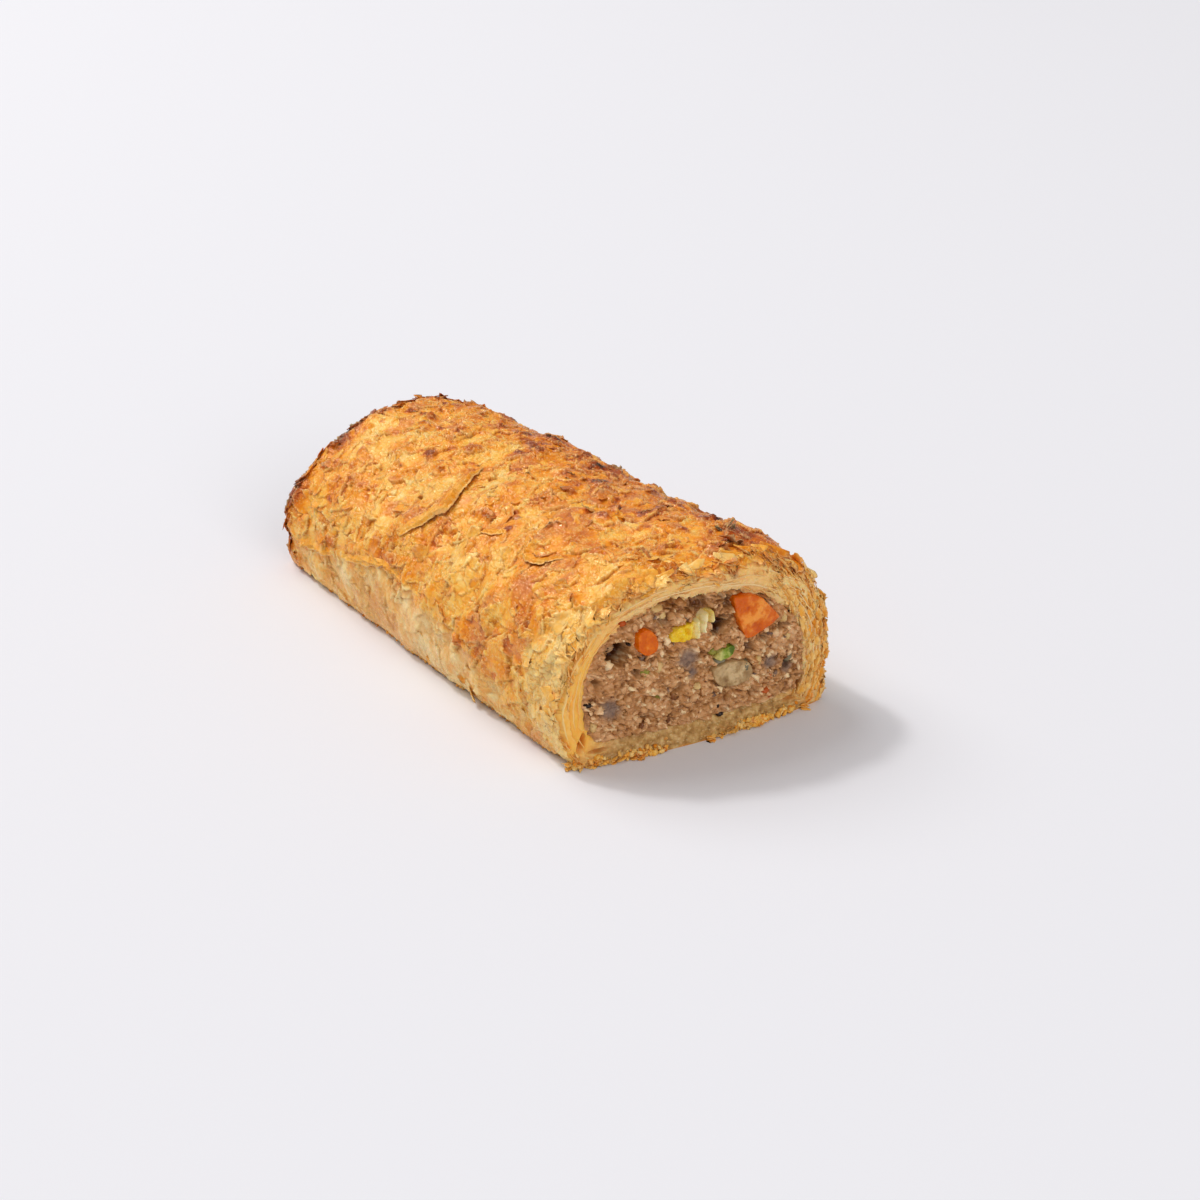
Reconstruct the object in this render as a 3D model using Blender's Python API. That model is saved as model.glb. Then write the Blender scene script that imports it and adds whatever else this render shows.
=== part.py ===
# A sausage roll: puff pastry baked round a meat and vegetable filling, with one freshly cut end.
# The roll lies along X on its flat base, the cut end faces +X and the baked end faces -X.

import bpy
import bmesh
import numpy as np

MM = 0.001

# Sizes of the roll's cross-section at three places along it, in millimetres. Y runs across the roll.
# half_*: widest reach left and right; belly: height of the widest point; crown: the highest point;
# square_*: how square the shoulder is (2 is a plain ellipse); foot_*: where the flat base ends.
FAR_END = dict(half_left=27.8, half_right=31.0, belly=13.0, crown_y=5.0, crown_z=35.0,
               square_left=1.85, square_right=2.4, foot_left=25.4, foot_right=27.0)
MIDDLE = dict(half_left=31.4, half_right=32.8, belly=14.0, crown_y=3.0, crown_z=37.8,
              square_left=2.05, square_right=2.7, foot_left=27.0, foot_right=28.5)
CUT_END = dict(half_left=32.8, half_right=34.0, belly=13.5, crown_y=-4.0, crown_z=39.5,
               square_left=2.35, square_right=2.1, foot_left=27.2, foot_right=30.2)

# The pastry's wall, and the gap that keeps it off the filling.
WALL_LEFT = 5.3
WALL_RIGHT = 7.8
WALL_TOP = 5.2
WALL_FLOOR = 5.2
FLOOR_TUCK = 4.6
CLEARANCE = 0.3

# The two ends. The knife went through slightly askew, and the soft face bulges in its middle.
BODY_LENGTH = 122.0
CUT_SKEW = 0.10
CUT_BULGE = 3.0
CUT_HALF = 30.0
NEAR_CORNER_Y = -27.0
FAR_ROUNDING = 4.0
FAR_TUCK = 0.4
FAR_SLOPE = 0.06

# Where the baked crust has puffed up over the right shoulder beside the cut.
PUFF_HEIGHT = 3.4
PUFF_PLACE = 0.90
PUFF_LENGTH = 0.13
PUFF_TURN = 0.66
PUFF_SPREAD = 0.13

# Unevenness of the crust: waves of (height, waves along, waves around, phase).
CRUST_WAVES = ((0.40, 1.9, 2.3, 0.4), (0.34, -3.7, 3.1, 2.1), (0.30, 6.1, -4.3, 4.4), (0.26, -8.9, -6.7, 1.3),
               (0.20, 11.3, 9.1, 5.2))

# How finely the shapes are cut up.
ARCH_STEPS = 46
BASE_STEPS = 6
PASTRY_STATIONS = 36
LINING_STATIONS = 7
FILLING_STATIONS = 8
FACE_RINGS = 7

# Layers of dough seen as low steps in the pastry's cut face: how far each ring stands back.
LAYER_STEPS = (0.0, 0.5, 0.0, 0.7, 0.2)

# Hollows left by gravy and air in the filling's cut face: (y, z, radius, depth).
FACE_HOLLOWS = ((-19.9, 25.2, 2.6, 4.0), (2.6, 26.4, 2.3, 3.0), (-2.0, 32.2, 2.4, 2.2), (21.5, 12.6, 2.0, 1.6))
MINCE_RELIEF = 0.40
MINCE_WAVES = ((1.0, 0.52, 0.38, 0.2), (0.8, -0.44, 0.71, 1.9), (0.7, 0.83, -0.58, 3.7))

# Vegetable pieces seen in the cut face: corners of each outline (y, z), depth behind the face,
# how far it stands proud, and how much its corners are rounded off. A piece that lies against the
# pastry has a pocket that is open above the height opens_above.
VEGETABLES = {
    "carrot_large": dict(corners=((5.8, 32.0), (10.4, 31.0), (14.6, 28.2), (18.4, 25.2), (11.2, 21.6), (8.2, 24.6)),
                         depth=9.0, proud=0.9, rounding=0.16, opens_above=30.0),
    "carrot_small": dict(corners=((-16.6, 29.3), (-13.8, 30.4), (-11.8, 28.0), (-12.0, 24.2), (-14.6, 23.2),
                                  (-16.6, 25.6)),
                         depth=6.0, proud=1.0, rounding=0.24),
    "leek_curl": dict(corners=((-9.0, 25.2), (-8.2, 28.0), (-4.4, 29.6), (-1.2, 31.4), (1.2, 31.2), (0.6, 28.8),
                               (-2.2, 27.8), (-3.2, 25.8), (-6.0, 25.0)),
                      depth=5.0, proud=0.9, rounding=0.2),
    "leek_green": dict(corners=((2.0, 19.0), (3.6, 20.9), (7.4, 21.0), (6.6, 18.6), (3.4, 18.1)),
                       depth=4.0, proud=0.4, rounding=0.22),
    "onion_piece": dict(corners=((1.4, 16.6), (4.6, 17.5), (9.9, 16.4), (12.2, 13.4), (9.6, 10.9), (2.6, 12.0)),
                        depth=5.0, proud=0.3, rounding=0.24),
}
FRONT_BEVEL = 0.7
BACK_TAPER = 0.86
POCKET_REACH = 6.0

# Colours (linear RGB) and roughness of the plain materials.
FINISHES = {
    "pastry": ((0.66, 0.34, 0.10), 0.50),
    "filling": ((0.30, 0.19, 0.13), 0.55),
    "carrot_large": ((0.72, 0.14, 0.01), 0.35),
    "carrot_small": ((0.72, 0.14, 0.01), 0.35),
    "leek_curl": ((0.76, 0.66, 0.10), 0.35),
    "leek_green": ((0.30, 0.40, 0.08), 0.35),
    "onion_piece": ((0.42, 0.40, 0.24), 0.30),
}


def blend_sizes(t):
    """Sizes at t along the roll, 0 at the baked end and 1 at the cut: a parabola through three places."""
    far = 2.0 * (t - 0.5) * (t - 1.0)
    middle = 4.0 * t * (1.0 - t)
    cut = 2.0 * t * (t - 0.5)
    return {key: far * FAR_END[key] + middle * MIDDLE[key] + cut * CUT_END[key] for key in CUT_END}


def lining_sizes(outer, gap=0.0):
    """Sizes of the space inside the pastry, taken in by the walls and a gap."""
    inner = dict(outer)
    inner["half_left"] -= WALL_LEFT + gap
    inner["half_right"] -= WALL_RIGHT + gap
    inner["crown_z"] -= WALL_TOP + gap
    inner["foot_left"] -= FLOOR_TUCK + gap
    inner["foot_right"] -= WALL_RIGHT + 1.4 + gap
    inner["square_left"] += 0.1
    inner["square_right"] -= 0.05
    inner["floor"] = WALL_FLOOR + gap
    return inner


def quarter(start, end, power, upright, steps=24):
    """A quarter of a superellipse from start to end; upright leaves start vertically."""
    angle = np.linspace(0.0, np.pi / 2.0, steps)
    lead = np.sin(angle) ** (2.0 / power)
    lag = 1.0 - np.cos(angle) ** (2.0 / power)
    y_share, z_share = (lag, lead) if upright else (lead, lag)
    return np.c_[start[0] + (end[0] - start[0]) * y_share, start[1] + (end[1] - start[1]) * z_share]


def even_steps(points, steps):
    """The same line with evenly spaced points."""
    lengths = np.r_[0.0, np.cumsum(np.linalg.norm(np.diff(points, axis=0), axis=1))]
    wanted = np.linspace(0.0, lengths[-1], steps + 1)
    return np.c_[np.interp(wanted, lengths, points[:, 0]), np.interp(wanted, lengths, points[:, 1])]


def section(sizes):
    """One closed cross-section: up the left side, over the crown, down the right, back along the base."""
    floor = sizes.get("floor", 0.0)
    foot_left = (-sizes["foot_left"], floor)
    side_left = (-sizes["half_left"], sizes["belly"])
    crown = (sizes["crown_y"], sizes["crown_z"])
    side_right = (sizes["half_right"], sizes["belly"])
    foot_right = (sizes["foot_right"], floor)
    low_left = quarter(side_left, foot_left, 2.2, True)[::-1]
    high_left = quarter(side_left, crown, sizes["square_left"], True)
    high_right = quarter(side_right, crown, sizes["square_right"], True)[::-1]
    low_right = quarter(side_right, foot_right, 2.4, True)
    arch = even_steps(np.vstack([low_left, high_left[1:], high_right[1:], low_right[1:]]), ARCH_STEPS)
    base = even_steps(np.array([foot_right, foot_left]), BASE_STEPS)
    return np.vstack([arch, base[1:-1]])


def cut_x(y):
    """Where the knife's face lies: a skewed plane with a soft bulge."""
    bulge = CUT_BULGE * ((NEAR_CORNER_Y / CUT_HALF) ** 2 - (y / CUT_HALF) ** 2)
    return CUT_SKEW * (y - NEAR_CORNER_Y) + bulge


def far_x(z):
    """Where the baked end lies: it slopes in slightly towards the top."""
    return -BODY_LENGTH + FAR_SLOPE * np.maximum(z - FAR_END["belly"], 0.0) - 1.0


def outward(loops):
    """Unit normals of each cross-section in its own plane."""
    ahead = np.roll(loops, -1, axis=1) - np.roll(loops, 1, axis=1)
    normals = np.stack([-ahead[..., 1], ahead[..., 0]], axis=-1)
    return normals / np.maximum(np.linalg.norm(normals, axis=-1, keepdims=True), 1e-9)


def crust_relief(t, turn):
    """Unevenness of the baked crust in millimetres, none on the base."""
    relief = sum(height * np.sin(2 * np.pi * along * t + phase + np.sin(5.0 * turn + phase))
                 * np.sin(2 * np.pi * around * turn + 2.0 * phase + 1.4 * np.sin(6.0 * t))
                 for height, along, around, phase in CRUST_WAVES)
    puff = np.exp(-((t - PUFF_PLACE) / PUFF_LENGTH) ** 2 - ((turn - PUFF_TURN) / PUFF_SPREAD) ** 2)
    return relief + PUFF_HEIGHT * puff


def tube(stations, sizes_at, relief=False):
    """Cross-sections swept between the two ends, as an array of points (station, turn, xyz)."""
    t = np.linspace(0.0, 1.0, stations)
    loops = np.array([section(sizes_at(value)) for value in t])
    if relief:
        turn = np.arange(loops.shape[1]) / ARCH_STEPS
        on_arch = np.clip(np.minimum(turn, 1.0 - turn) * ARCH_STEPS / 3.0, 0.0, 1.0)
        height = crust_relief(t[:, None], turn[None, :]) * on_arch[None, :]
        near_end = np.clip(1.0 - t * BODY_LENGTH / FAR_ROUNDING, 0.0, 1.0)
        height = height - (FAR_ROUNDING * (1.0 - np.sqrt(1.0 - near_end ** 2)) * FAR_TUCK)[:, None] * on_arch[None, :]
        loops = loops + outward(loops) * height[..., None]
    y = loops[..., 0]
    z = loops[..., 1]
    x = far_x(z) + (cut_x(y) - far_x(z)) * t[:, None]
    return np.stack([x, y, z], axis=-1)


def add_grid(faces, first, rows, columns, flip=False):
    """Quads of a grid of rows by columns of points that closes round its columns."""
    for row in range(rows - 1):
        for column in range(columns):
            following = (column + 1) % columns
            quad = (first + row * columns + column, first + row * columns + following,
                    first + (row + 1) * columns + following, first + (row + 1) * columns + column)
            faces.append(quad[::-1] if flip else quad)


def make_object(name, points, faces):
    """A closed mesh object in metres, with its faces turned outwards and its own material."""
    mesh = bpy.data.meshes.new(name)
    mesh.from_pydata([tuple(point) for point in np.asarray(points) * MM], [], faces)
    shaper = bmesh.new()
    shaper.from_mesh(mesh)
    bmesh.ops.recalc_face_normals(shaper, faces=shaper.faces)
    bmesh.ops.triangulate(shaper, faces=shaper.faces)
    shaper.to_mesh(mesh)
    shaper.free()
    made = bpy.data.objects.new(name, mesh)
    bpy.context.scene.collection.objects.link(made)
    return made


def give_finish(made):
    """The plain material of a sub-part."""
    colour, roughness = FINISHES[made.name]
    material = bpy.data.materials.new(made.name)
    material.use_nodes = True
    shader = material.node_tree.nodes["Principled BSDF"]
    shader.inputs["Base Color"].default_value = (*colour, 1.0)
    shader.inputs["Roughness"].default_value = roughness
    shader.inputs["Metallic"].default_value = 0.0
    made.data.materials.append(material)


def wall_rings(outer, inner, steps, facing):
    """Rings across the wall's end, from the outer edge to the inner one, stepped like layers of dough."""
    rings = []
    for index, step in enumerate(steps[1:-1], start=1):
        share = index / (len(steps) - 1)
        ring = outer * (1.0 - share) + inner * share
        ring[:, 0] -= facing * step
        rings.append(ring)
    return rings


def make_pastry():
    """The pastry: a tube with a real wall, open at both ends where the filling shows."""
    outer = tube(PASTRY_STATIONS, blend_sizes, relief=True)
    lining = tube(LINING_STATIONS, lambda t: lining_sizes(blend_sizes(t)))
    cut_rings = wall_rings(outer[-1], lining[-1], LAYER_STEPS, 1.0)
    far_rings = wall_rings(outer[0], lining[0], (0.0, 0.3, 0.0), -1.0)
    rows = [*outer, *cut_rings, *lining[::-1], *far_rings[::-1]]
    columns = outer.shape[1]
    faces = []
    add_grid(faces, 0, len(rows), columns)
    last = (len(rows) - 1) * columns
    for column in range(columns):
        following = (column + 1) % columns
        faces.append((last + column, last + following, following, column))
    return make_object("pastry", np.vstack(rows), faces)


def face_rings(edge, relief):
    """Rings closing in from an edge loop to its centre, with a relief along X; the last is one point."""
    centre = edge.mean(axis=0)
    rings = []
    for index in range(1, FACE_RINGS):
        share = 1.0 - index / FACE_RINGS
        ring = centre + (edge - centre) * share
        ring[:, 0] = relief(ring[:, 1], ring[:, 2])
        rings.append(ring)
    tip = centre.copy()
    tip[0] = relief(centre[1], centre[2])
    return rings, tip


def mince_face(y, z):
    """The filling's cut face: the knife's surface roughened by mince, with its hollows."""
    rough = sum(share * np.sin(across * y + up * z + phase) for share, across, up, phase in MINCE_WAVES)
    face = cut_x(y) + MINCE_RELIEF * rough
    for hollow_y, hollow_z, radius, depth in FACE_HOLLOWS:
        reach = ((y - hollow_y) ** 2 + (z - hollow_z) ** 2) / radius ** 2
        face = face - depth * np.exp(-reach ** 2)
    return face


def baked_face(y, z):
    """The filling's baked end, swollen slightly out of the pastry."""
    swell = 1.0 - (y / FAR_END["half_left"]) ** 2
    rough = 0.3 * np.sin(0.9 * y + 0.7 * z) + 0.25 * np.sin(1.3 * z - 0.6 * y)
    return far_x(z) - 1.6 * np.clip(swell, 0.0, 1.0) + rough


def make_filling():
    """The filling: one bar of mince from end to end of the pastry, clear of it by a hair."""
    bar = tube(FILLING_STATIONS, lambda t: lining_sizes(blend_sizes(t), CLEARANCE))
    front, front_tip = face_rings(bar[-1], mince_face)
    back, back_tip = face_rings(bar[0], baked_face)
    rows = [*back[::-1], *bar, *front]
    columns = bar.shape[1]
    points = np.vstack([*rows, back_tip[None], front_tip[None]])
    faces = []
    add_grid(faces, 0, len(rows), columns)
    last = (len(rows) - 1) * columns
    back_index = len(rows) * columns
    for column in range(columns):
        following = (column + 1) % columns
        faces.append((back_index, following, column))
        faces.append((last + column, last + following, back_index + 1))
    return make_object("filling", points, faces)


def round_corners(corners, share):
    """Each corner of an outline cut into two, so that the piece looks diced and not stamped."""
    points = np.array(corners)
    ahead = np.roll(points, -1, axis=0)
    near = points * (1.0 - share) + ahead * share
    far = points * share + ahead * (1.0 - share)
    return np.stack([near, far], axis=1).reshape(-1, 2)


def grow_outline(outline, amount):
    """An outline pushed outwards along its own normals."""
    ahead = np.roll(outline, -1, axis=0) - np.roll(outline, 1, axis=0)
    normals = np.c_[ahead[:, 1], -ahead[:, 0]]
    normals /= np.linalg.norm(normals, axis=1, keepdims=True)
    area = np.sum(outline[:, 0] * np.roll(outline[:, 1], -1) - np.roll(outline[:, 0], -1) * outline[:, 1])
    return outline + normals * amount * np.sign(area)


def plug(name, layers):
    """A closed solid lofted through outlines, each given with its distance in front of the knife's face."""
    loops = [np.c_[cut_x(outline[:, 0]) + front, outline] for outline, front in layers]
    columns = len(loops[0])
    faces = []
    add_grid(faces, 0, len(loops), columns)
    faces.append(tuple(range(columns)))
    faces.append(tuple(range((len(loops) - 1) * columns, len(loops) * columns)))
    return make_object(name, np.vstack(loops), faces)


def make_vegetable(name, corners, depth, proud, rounding, opens_above=None):
    """A diced piece of vegetable, its front edges softened, narrower towards its hidden back."""
    outline = round_corners(corners, rounding)
    centre = outline.mean(axis=0)
    layers = [(centre + (outline - centre) * BACK_TAPER, -depth),
              (outline, -depth * 0.6),
              (outline, proud - FRONT_BEVEL),
              (grow_outline(outline, -FRONT_BEVEL * 0.6), proud)]
    return plug(name, layers)


def open_upwards(outline, height):
    """The same outline with everything above a height carried straight up, out of the filling."""
    top = outline[:, 1] > height
    first = np.flatnonzero(top & ~np.roll(top, 1))[0]
    turned = np.roll(outline, -first, axis=0)
    chain = turned[:top.sum()]
    return np.vstack([chain[:1], chain + (0.0, POCKET_REACH), chain[-1:], turned[top.sum():]])


def make_pocket(name, corners, depth, proud, rounding, opens_above=None):
    """The cutter that makes room for a piece: its outline grown by the clearance, open at the face."""
    outline = grow_outline(round_corners(corners, rounding), CLEARANCE)
    if opens_above is not None:
        outline = open_upwards(outline, opens_above)
    layers = [(outline, -depth - CLEARANCE), (outline, POCKET_REACH)]
    cutter = plug("pocket_" + name, layers)
    cutter.hide_render = True
    cutter.display_type = "WIRE"
    return cutter


def cut_pockets(filling, cutters):
    """Room for the vegetables, taken out of the filling."""
    for cutter in cutters:
        cut = filling.modifiers.new(cutter.name, "BOOLEAN")
        cut.operation = "DIFFERENCE"
        cut.solver = "EXACT"
        cut.object = cutter


def centre_on_base(objects):
    """Move every piece so that the roll's box stands centred on the origin."""
    corners = np.array([vertex.co[:] for made in objects for vertex in made.data.vertices if not made.hide_render])
    low = corners.min(axis=0)
    high = corners.max(axis=0)
    shift = np.array([(low[0] + high[0]) / 2.0, (low[1] + high[1]) / 2.0, low[2]])
    for made in objects:
        for vertex in made.data.vertices:
            vertex.co = np.array(vertex.co) - shift
    return shift


def main():
    for leftover in list(bpy.data.objects):
        bpy.data.objects.remove(leftover, do_unlink=True)
    pastry = make_pastry()
    filling = make_filling()
    vegetables = [make_vegetable(name, **sizes) for name, sizes in VEGETABLES.items()]
    cutters = [make_pocket(name, **sizes) for name, sizes in VEGETABLES.items()]
    centre_on_base([pastry, filling, *vegetables, *cutters])
    cut_pockets(filling, cutters)
    for made in (pastry, filling, *vegetables):
        give_finish(made)


main()
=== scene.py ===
import bpy
import bmesh
import numpy as np
from math import radians, sin, cos, pi
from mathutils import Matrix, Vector


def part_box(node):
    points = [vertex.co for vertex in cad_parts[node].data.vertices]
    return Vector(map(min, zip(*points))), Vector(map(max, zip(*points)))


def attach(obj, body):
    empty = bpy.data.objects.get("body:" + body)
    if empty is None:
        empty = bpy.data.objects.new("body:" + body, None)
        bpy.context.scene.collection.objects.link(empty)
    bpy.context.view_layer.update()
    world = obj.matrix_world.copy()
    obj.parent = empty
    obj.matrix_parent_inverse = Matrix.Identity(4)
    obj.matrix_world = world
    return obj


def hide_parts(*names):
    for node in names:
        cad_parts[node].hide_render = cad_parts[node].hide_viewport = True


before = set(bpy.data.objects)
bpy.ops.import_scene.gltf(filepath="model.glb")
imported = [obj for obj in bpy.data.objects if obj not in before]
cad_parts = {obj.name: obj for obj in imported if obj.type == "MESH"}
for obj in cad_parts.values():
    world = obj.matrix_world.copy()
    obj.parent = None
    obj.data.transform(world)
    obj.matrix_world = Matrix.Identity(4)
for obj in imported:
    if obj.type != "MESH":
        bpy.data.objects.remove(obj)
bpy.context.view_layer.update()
mm = 0.001

# ---------------------------------------------------------------- noise, as whole arrays


def latticeNoise(x, y, seed, size=256):
    # smooth noise from -1 to 1: random values on a square lattice, blended with an S-curve
    table = np.random.default_rng(seed).uniform(-1.0, 1.0, (size, size))
    xi, yi = np.floor(x).astype(int), np.floor(y).astype(int)
    fx, fy = x - xi, y - yi
    fx, fy = fx * fx * (3 - 2 * fx), fy * fy * (3 - 2 * fy)
    xi, yi = xi % size, yi % size
    xj, yj = (xi + 1) % size, (yi + 1) % size
    low = table[xi, yi] * (1 - fx) + table[xj, yi] * fx
    high = table[xi, yj] * (1 - fx) + table[xj, yj] * fx
    return low * (1 - fy) + high * fy


def layeredNoise(x, y, scale, seed, octaves=4, fall=0.55):
    # octaves of lattice noise, each turned, finer and weaker than the last
    total, weight, reach = 0.0, 1.0, 0.0
    for octave in range(octaves):
        turn = 0.7 * octave
        px, py = x * cos(turn) - y * sin(turn), x * sin(turn) + y * cos(turn)
        total = total + weight * latticeNoise(px / scale + 17.3 * octave, py / scale + 5.1 * octave, seed + octave)
        reach += weight
        weight *= fall
        scale *= 0.5
    return total / reach


def cellNoise(x, y, scale, seed, size=128):
    # distance to the nearest and next nearest of scattered points, and a random tone for the nearest
    rng = np.random.default_rng(seed)
    jitterX, jitterY = rng.uniform(0.08, 0.92, (size, size)), rng.uniform(0.08, 0.92, (size, size))
    tones = rng.uniform(0, 1, (size, size))
    px, py = x / scale, y / scale
    ix, iy = np.floor(px).astype(int), np.floor(py).astype(int)
    nearest, second = np.full(px.shape, 9.0), np.full(px.shape, 9.0)
    tone = np.zeros(px.shape)
    for ox in (-1, 0, 1):
        for oy in (-1, 0, 1):
            cx, cy = (ix + ox) % size, (iy + oy) % size
            gap = np.hypot(ix + ox + jitterX[cx, cy] - px, iy + oy + jitterY[cx, cy] - py)
            closer = gap < nearest
            second = np.where(closer, nearest, np.minimum(second, gap))
            tone = np.where(closer, tones[cx, cy], tone)
            nearest = np.where(closer, gap, nearest)
    return nearest * scale, second * scale, tone


def softStep(low, high, value):
    # 0 below low, 1 above high, an S-curve between
    share = np.clip((value - low) / (high - low), 0.0, 1.0)
    return share * share * (3 - 2 * share)


rollEnds = dict(
    far=dict(halfLeft=27.8, halfRight=31.0, belly=13.0, crownY=5.0, crownZ=35.0,
             squareLeft=1.85, squareRight=2.4, footLeft=25.4, footRight=27.0),
    middle=dict(halfLeft=31.4, halfRight=32.8, belly=14.0, crownY=3.0, crownZ=37.8,
                squareLeft=2.05, squareRight=2.7, footLeft=27.0, footRight=28.5),
    cut=dict(halfLeft=32.8, halfRight=34.0, belly=13.5, crownY=-4.0, crownZ=39.5,
             squareLeft=2.35, squareRight=2.1, footLeft=27.2, footRight=30.2),
)
rollForm = dict(
    bodyLength=122.0, cutSkew=0.10, cutBulge=3.0, cutHalf=30.0, nearCornerY=-27.0,
    farRounding=4.0, farTuck=0.4, farSlope=0.06, farLean=1.0,
    puffHeight=3.4, puffPlace=0.90, puffLength=0.13, puffTurn=0.66, puffSpread=0.13,
    cutRounding=3.2, cutTuck=1.3,
    wallLeft=5.3, wallRight=7.8, wallTop=5.2, wallFloor=5.2, floorTuck=4.6,
    archLength=124.0,
)
crustWaves = ((0.40, 1.9, 2.3, 0.4), (0.34, -3.7, 3.1, 2.1), (0.30, 6.1, -4.3, 4.4), (0.26, -8.9, -6.7, 1.3),
              (0.20, 11.3, 9.1, 5.2))


def sizesAt(t):
    # the cross-section's sizes at t along the roll: a parabola through far end, middle and cut
    far, middle, cut = 2 * (t - 0.5) * (t - 1), 4 * t * (1 - t), 2 * t * (t - 0.5)
    return {key: far * rollEnds["far"][key] + middle * rollEnds["middle"][key] + cut * rollEnds["cut"][key]
            for key in rollEnds["cut"]}


def liningAt(t, gap=0.0):
    # the same sizes taken in by the pastry's wall
    inner = sizesAt(t)
    inner["halfLeft"] -= rollForm["wallLeft"] + gap
    inner["halfRight"] -= rollForm["wallRight"] + gap
    inner["crownZ"] -= rollForm["wallTop"] + gap
    inner["footLeft"] -= rollForm["floorTuck"] + gap
    inner["footRight"] -= rollForm["wallRight"] + 1.4 + gap
    inner["squareLeft"] += 0.1
    inner["squareRight"] -= 0.05
    inner["floor"] = rollForm["wallFloor"] + gap
    return inner


def quarterArc(start, end, power, steps=40):
    # a quarter of a superellipse that leaves start upright and reaches end level
    angle = np.linspace(0, pi / 2, steps)
    across, up = 1 - np.cos(angle) ** (2 / power), np.sin(angle) ** (2 / power)
    return np.c_[start[0] + (end[0] - start[0]) * across, start[1] + (end[1] - start[1]) * up]


def evenPoints(points, wanted):
    # the same line read at evenly spaced shares of its length
    lengths = np.r_[0, np.cumsum(np.linalg.norm(np.diff(points, axis=0), axis=1))]
    wanted = wanted * lengths[-1]
    return np.c_[np.interp(wanted, lengths, points[:, 0]), np.interp(wanted, lengths, points[:, 1])]


def archPoints(sizes, turns):
    # up the left side, over the crown and down the right side, at shares 0 to 1 of the way round
    floor = sizes.get("floor", 0.0)
    footLeft, footRight = (-sizes["footLeft"], floor), (sizes["footRight"], floor)
    sideLeft, sideRight = (-sizes["halfLeft"], sizes["belly"]), (sizes["halfRight"], sizes["belly"])
    crown = (sizes["crownY"], sizes["crownZ"])
    parts = [quarterArc(sideLeft, footLeft, 2.2)[::-1], quarterArc(sideLeft, crown, sizes["squareLeft"])[1:],
             quarterArc(sideRight, crown, sizes["squareRight"])[::-1][1:], quarterArc(sideRight, footRight, 2.4)[1:]]
    return evenPoints(np.vstack(parts), turns)


def cutX(y):
    # the knife's face: a skewed plane with a soft bulge
    bulge = (rollForm["nearCornerY"] / rollForm["cutHalf"]) ** 2 - (y / rollForm["cutHalf"]) ** 2
    return rollForm["cutSkew"] * (y - rollForm["nearCornerY"]) + rollForm["cutBulge"] * bulge


def farX(z):
    # the baked end slopes in slightly towards the top
    return (-rollForm["bodyLength"] + rollForm["farSlope"] * np.maximum(z - rollEnds["far"]["belly"], 0)
            - rollForm["farLean"])


def broadRelief(t, turn):
    # the crust's large unevenness, as in the solid: crossed waves and the puffed shoulder beside the cut
    relief = sum(height * np.sin(2 * pi * along * t + phase + np.sin(5 * turn + phase))
                 * np.sin(2 * pi * around * turn + 2 * phase + 1.4 * np.sin(6 * t))
                 for height, along, around, phase in crustWaves)
    puff = np.exp(-((t - rollForm["puffPlace"]) / rollForm["puffLength"]) ** 2
                  - ((turn - rollForm["puffTurn"]) / rollForm["puffSpread"]) ** 2)
    return relief + rollForm["puffHeight"] * puff


def outwardNormals(loops):
    # unit normals of open cross-section lines, in their own plane
    ahead = np.gradient(loops, axis=1)
    normals = np.stack([-ahead[..., 1], ahead[..., 0]], axis=-1)
    return normals / np.maximum(np.linalg.norm(normals, axis=-1, keepdims=True), 1e-9)


# the solid is centred on its base, so the form above is moved by the same step
cutReach = max(cutX(y) for y in np.linspace(-rollEnds["cut"]["halfLeft"], rollEnds["cut"]["halfRight"], 200))
pastryLow, pastryHigh = [np.array(corner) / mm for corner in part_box("pastry")]
formShift = np.array([pastryHigh[0] - cutReach,
                      (pastryLow[1] + pastryHigh[1] + rollEnds["cut"]["halfLeft"] - rollEnds["cut"]["halfRight"]) / 2,
                      0.0])
print("form shift", formShift)


def gridMesh(name, points, attributes, closed=False, flip=False):
    # a sheet of quads over a grid of points in millimetres; closed joins the last column to the first
    rows, columns = points.shape[:2]
    mesh = bpy.data.meshes.new(name)
    index = np.arange(rows * columns).reshape(rows, columns)
    if closed:
        index = np.concatenate([index, index[:, :1]], axis=1)
    quads = np.stack([index[:-1, :-1], index[:-1, 1:], index[1:, 1:], index[1:, :-1]], axis=-1).reshape(-1, 4)
    if flip:
        quads = quads[:, ::-1]
    fillMesh(mesh, points.reshape(-1, 3), quads)
    for key, values in attributes.items():
        giveAttribute(mesh, key, values)
    return linkPiece(name, mesh)


def fillMesh(mesh, points, quads):
    # whole arrays put into the mesh at once
    mesh.vertices.add(len(points))
    mesh.vertices.foreach_set("co", ((points + formShift) * mm).astype(np.float32).ravel())
    mesh.loops.add(quads.size)
    mesh.loops.foreach_set("vertex_index", quads.astype(np.int32).ravel())
    mesh.polygons.add(len(quads))
    mesh.polygons.foreach_set("loop_start", np.arange(0, quads.size, quads.shape[1], dtype=np.int32))
    mesh.update(calc_edges=True)
    mesh.polygons.foreach_set("use_smooth", np.ones(len(quads), dtype=bool))
    mesh.validate()


def giveAttribute(mesh, key, values):
    layer = mesh.attributes.new(key, "FLOAT", "POINT")
    layer.data.foreach_set("value", np.asarray(values, dtype=np.float32).ravel())


def linkPiece(name, mesh):
    piece = bpy.data.objects.new(name, mesh)
    bpy.context.scene.collection.objects.link(piece)
    return piece


# the crust is laid flake by flake on a flat map of the roll's skin: mm along by mm around
crustLook = dict(
    alongCells=520, aroundCells=760,
    sheetCount=260, flakeCount=1500, chipCount=1300,
    thickness=0.22, curl=0.30, raggedness=0.50,
    swell=0.95, wrinkleDepth=0.15, curlyDepth=0.17, grainHeight=0.13,
    blisterCount=150, seed=11,
)
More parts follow.
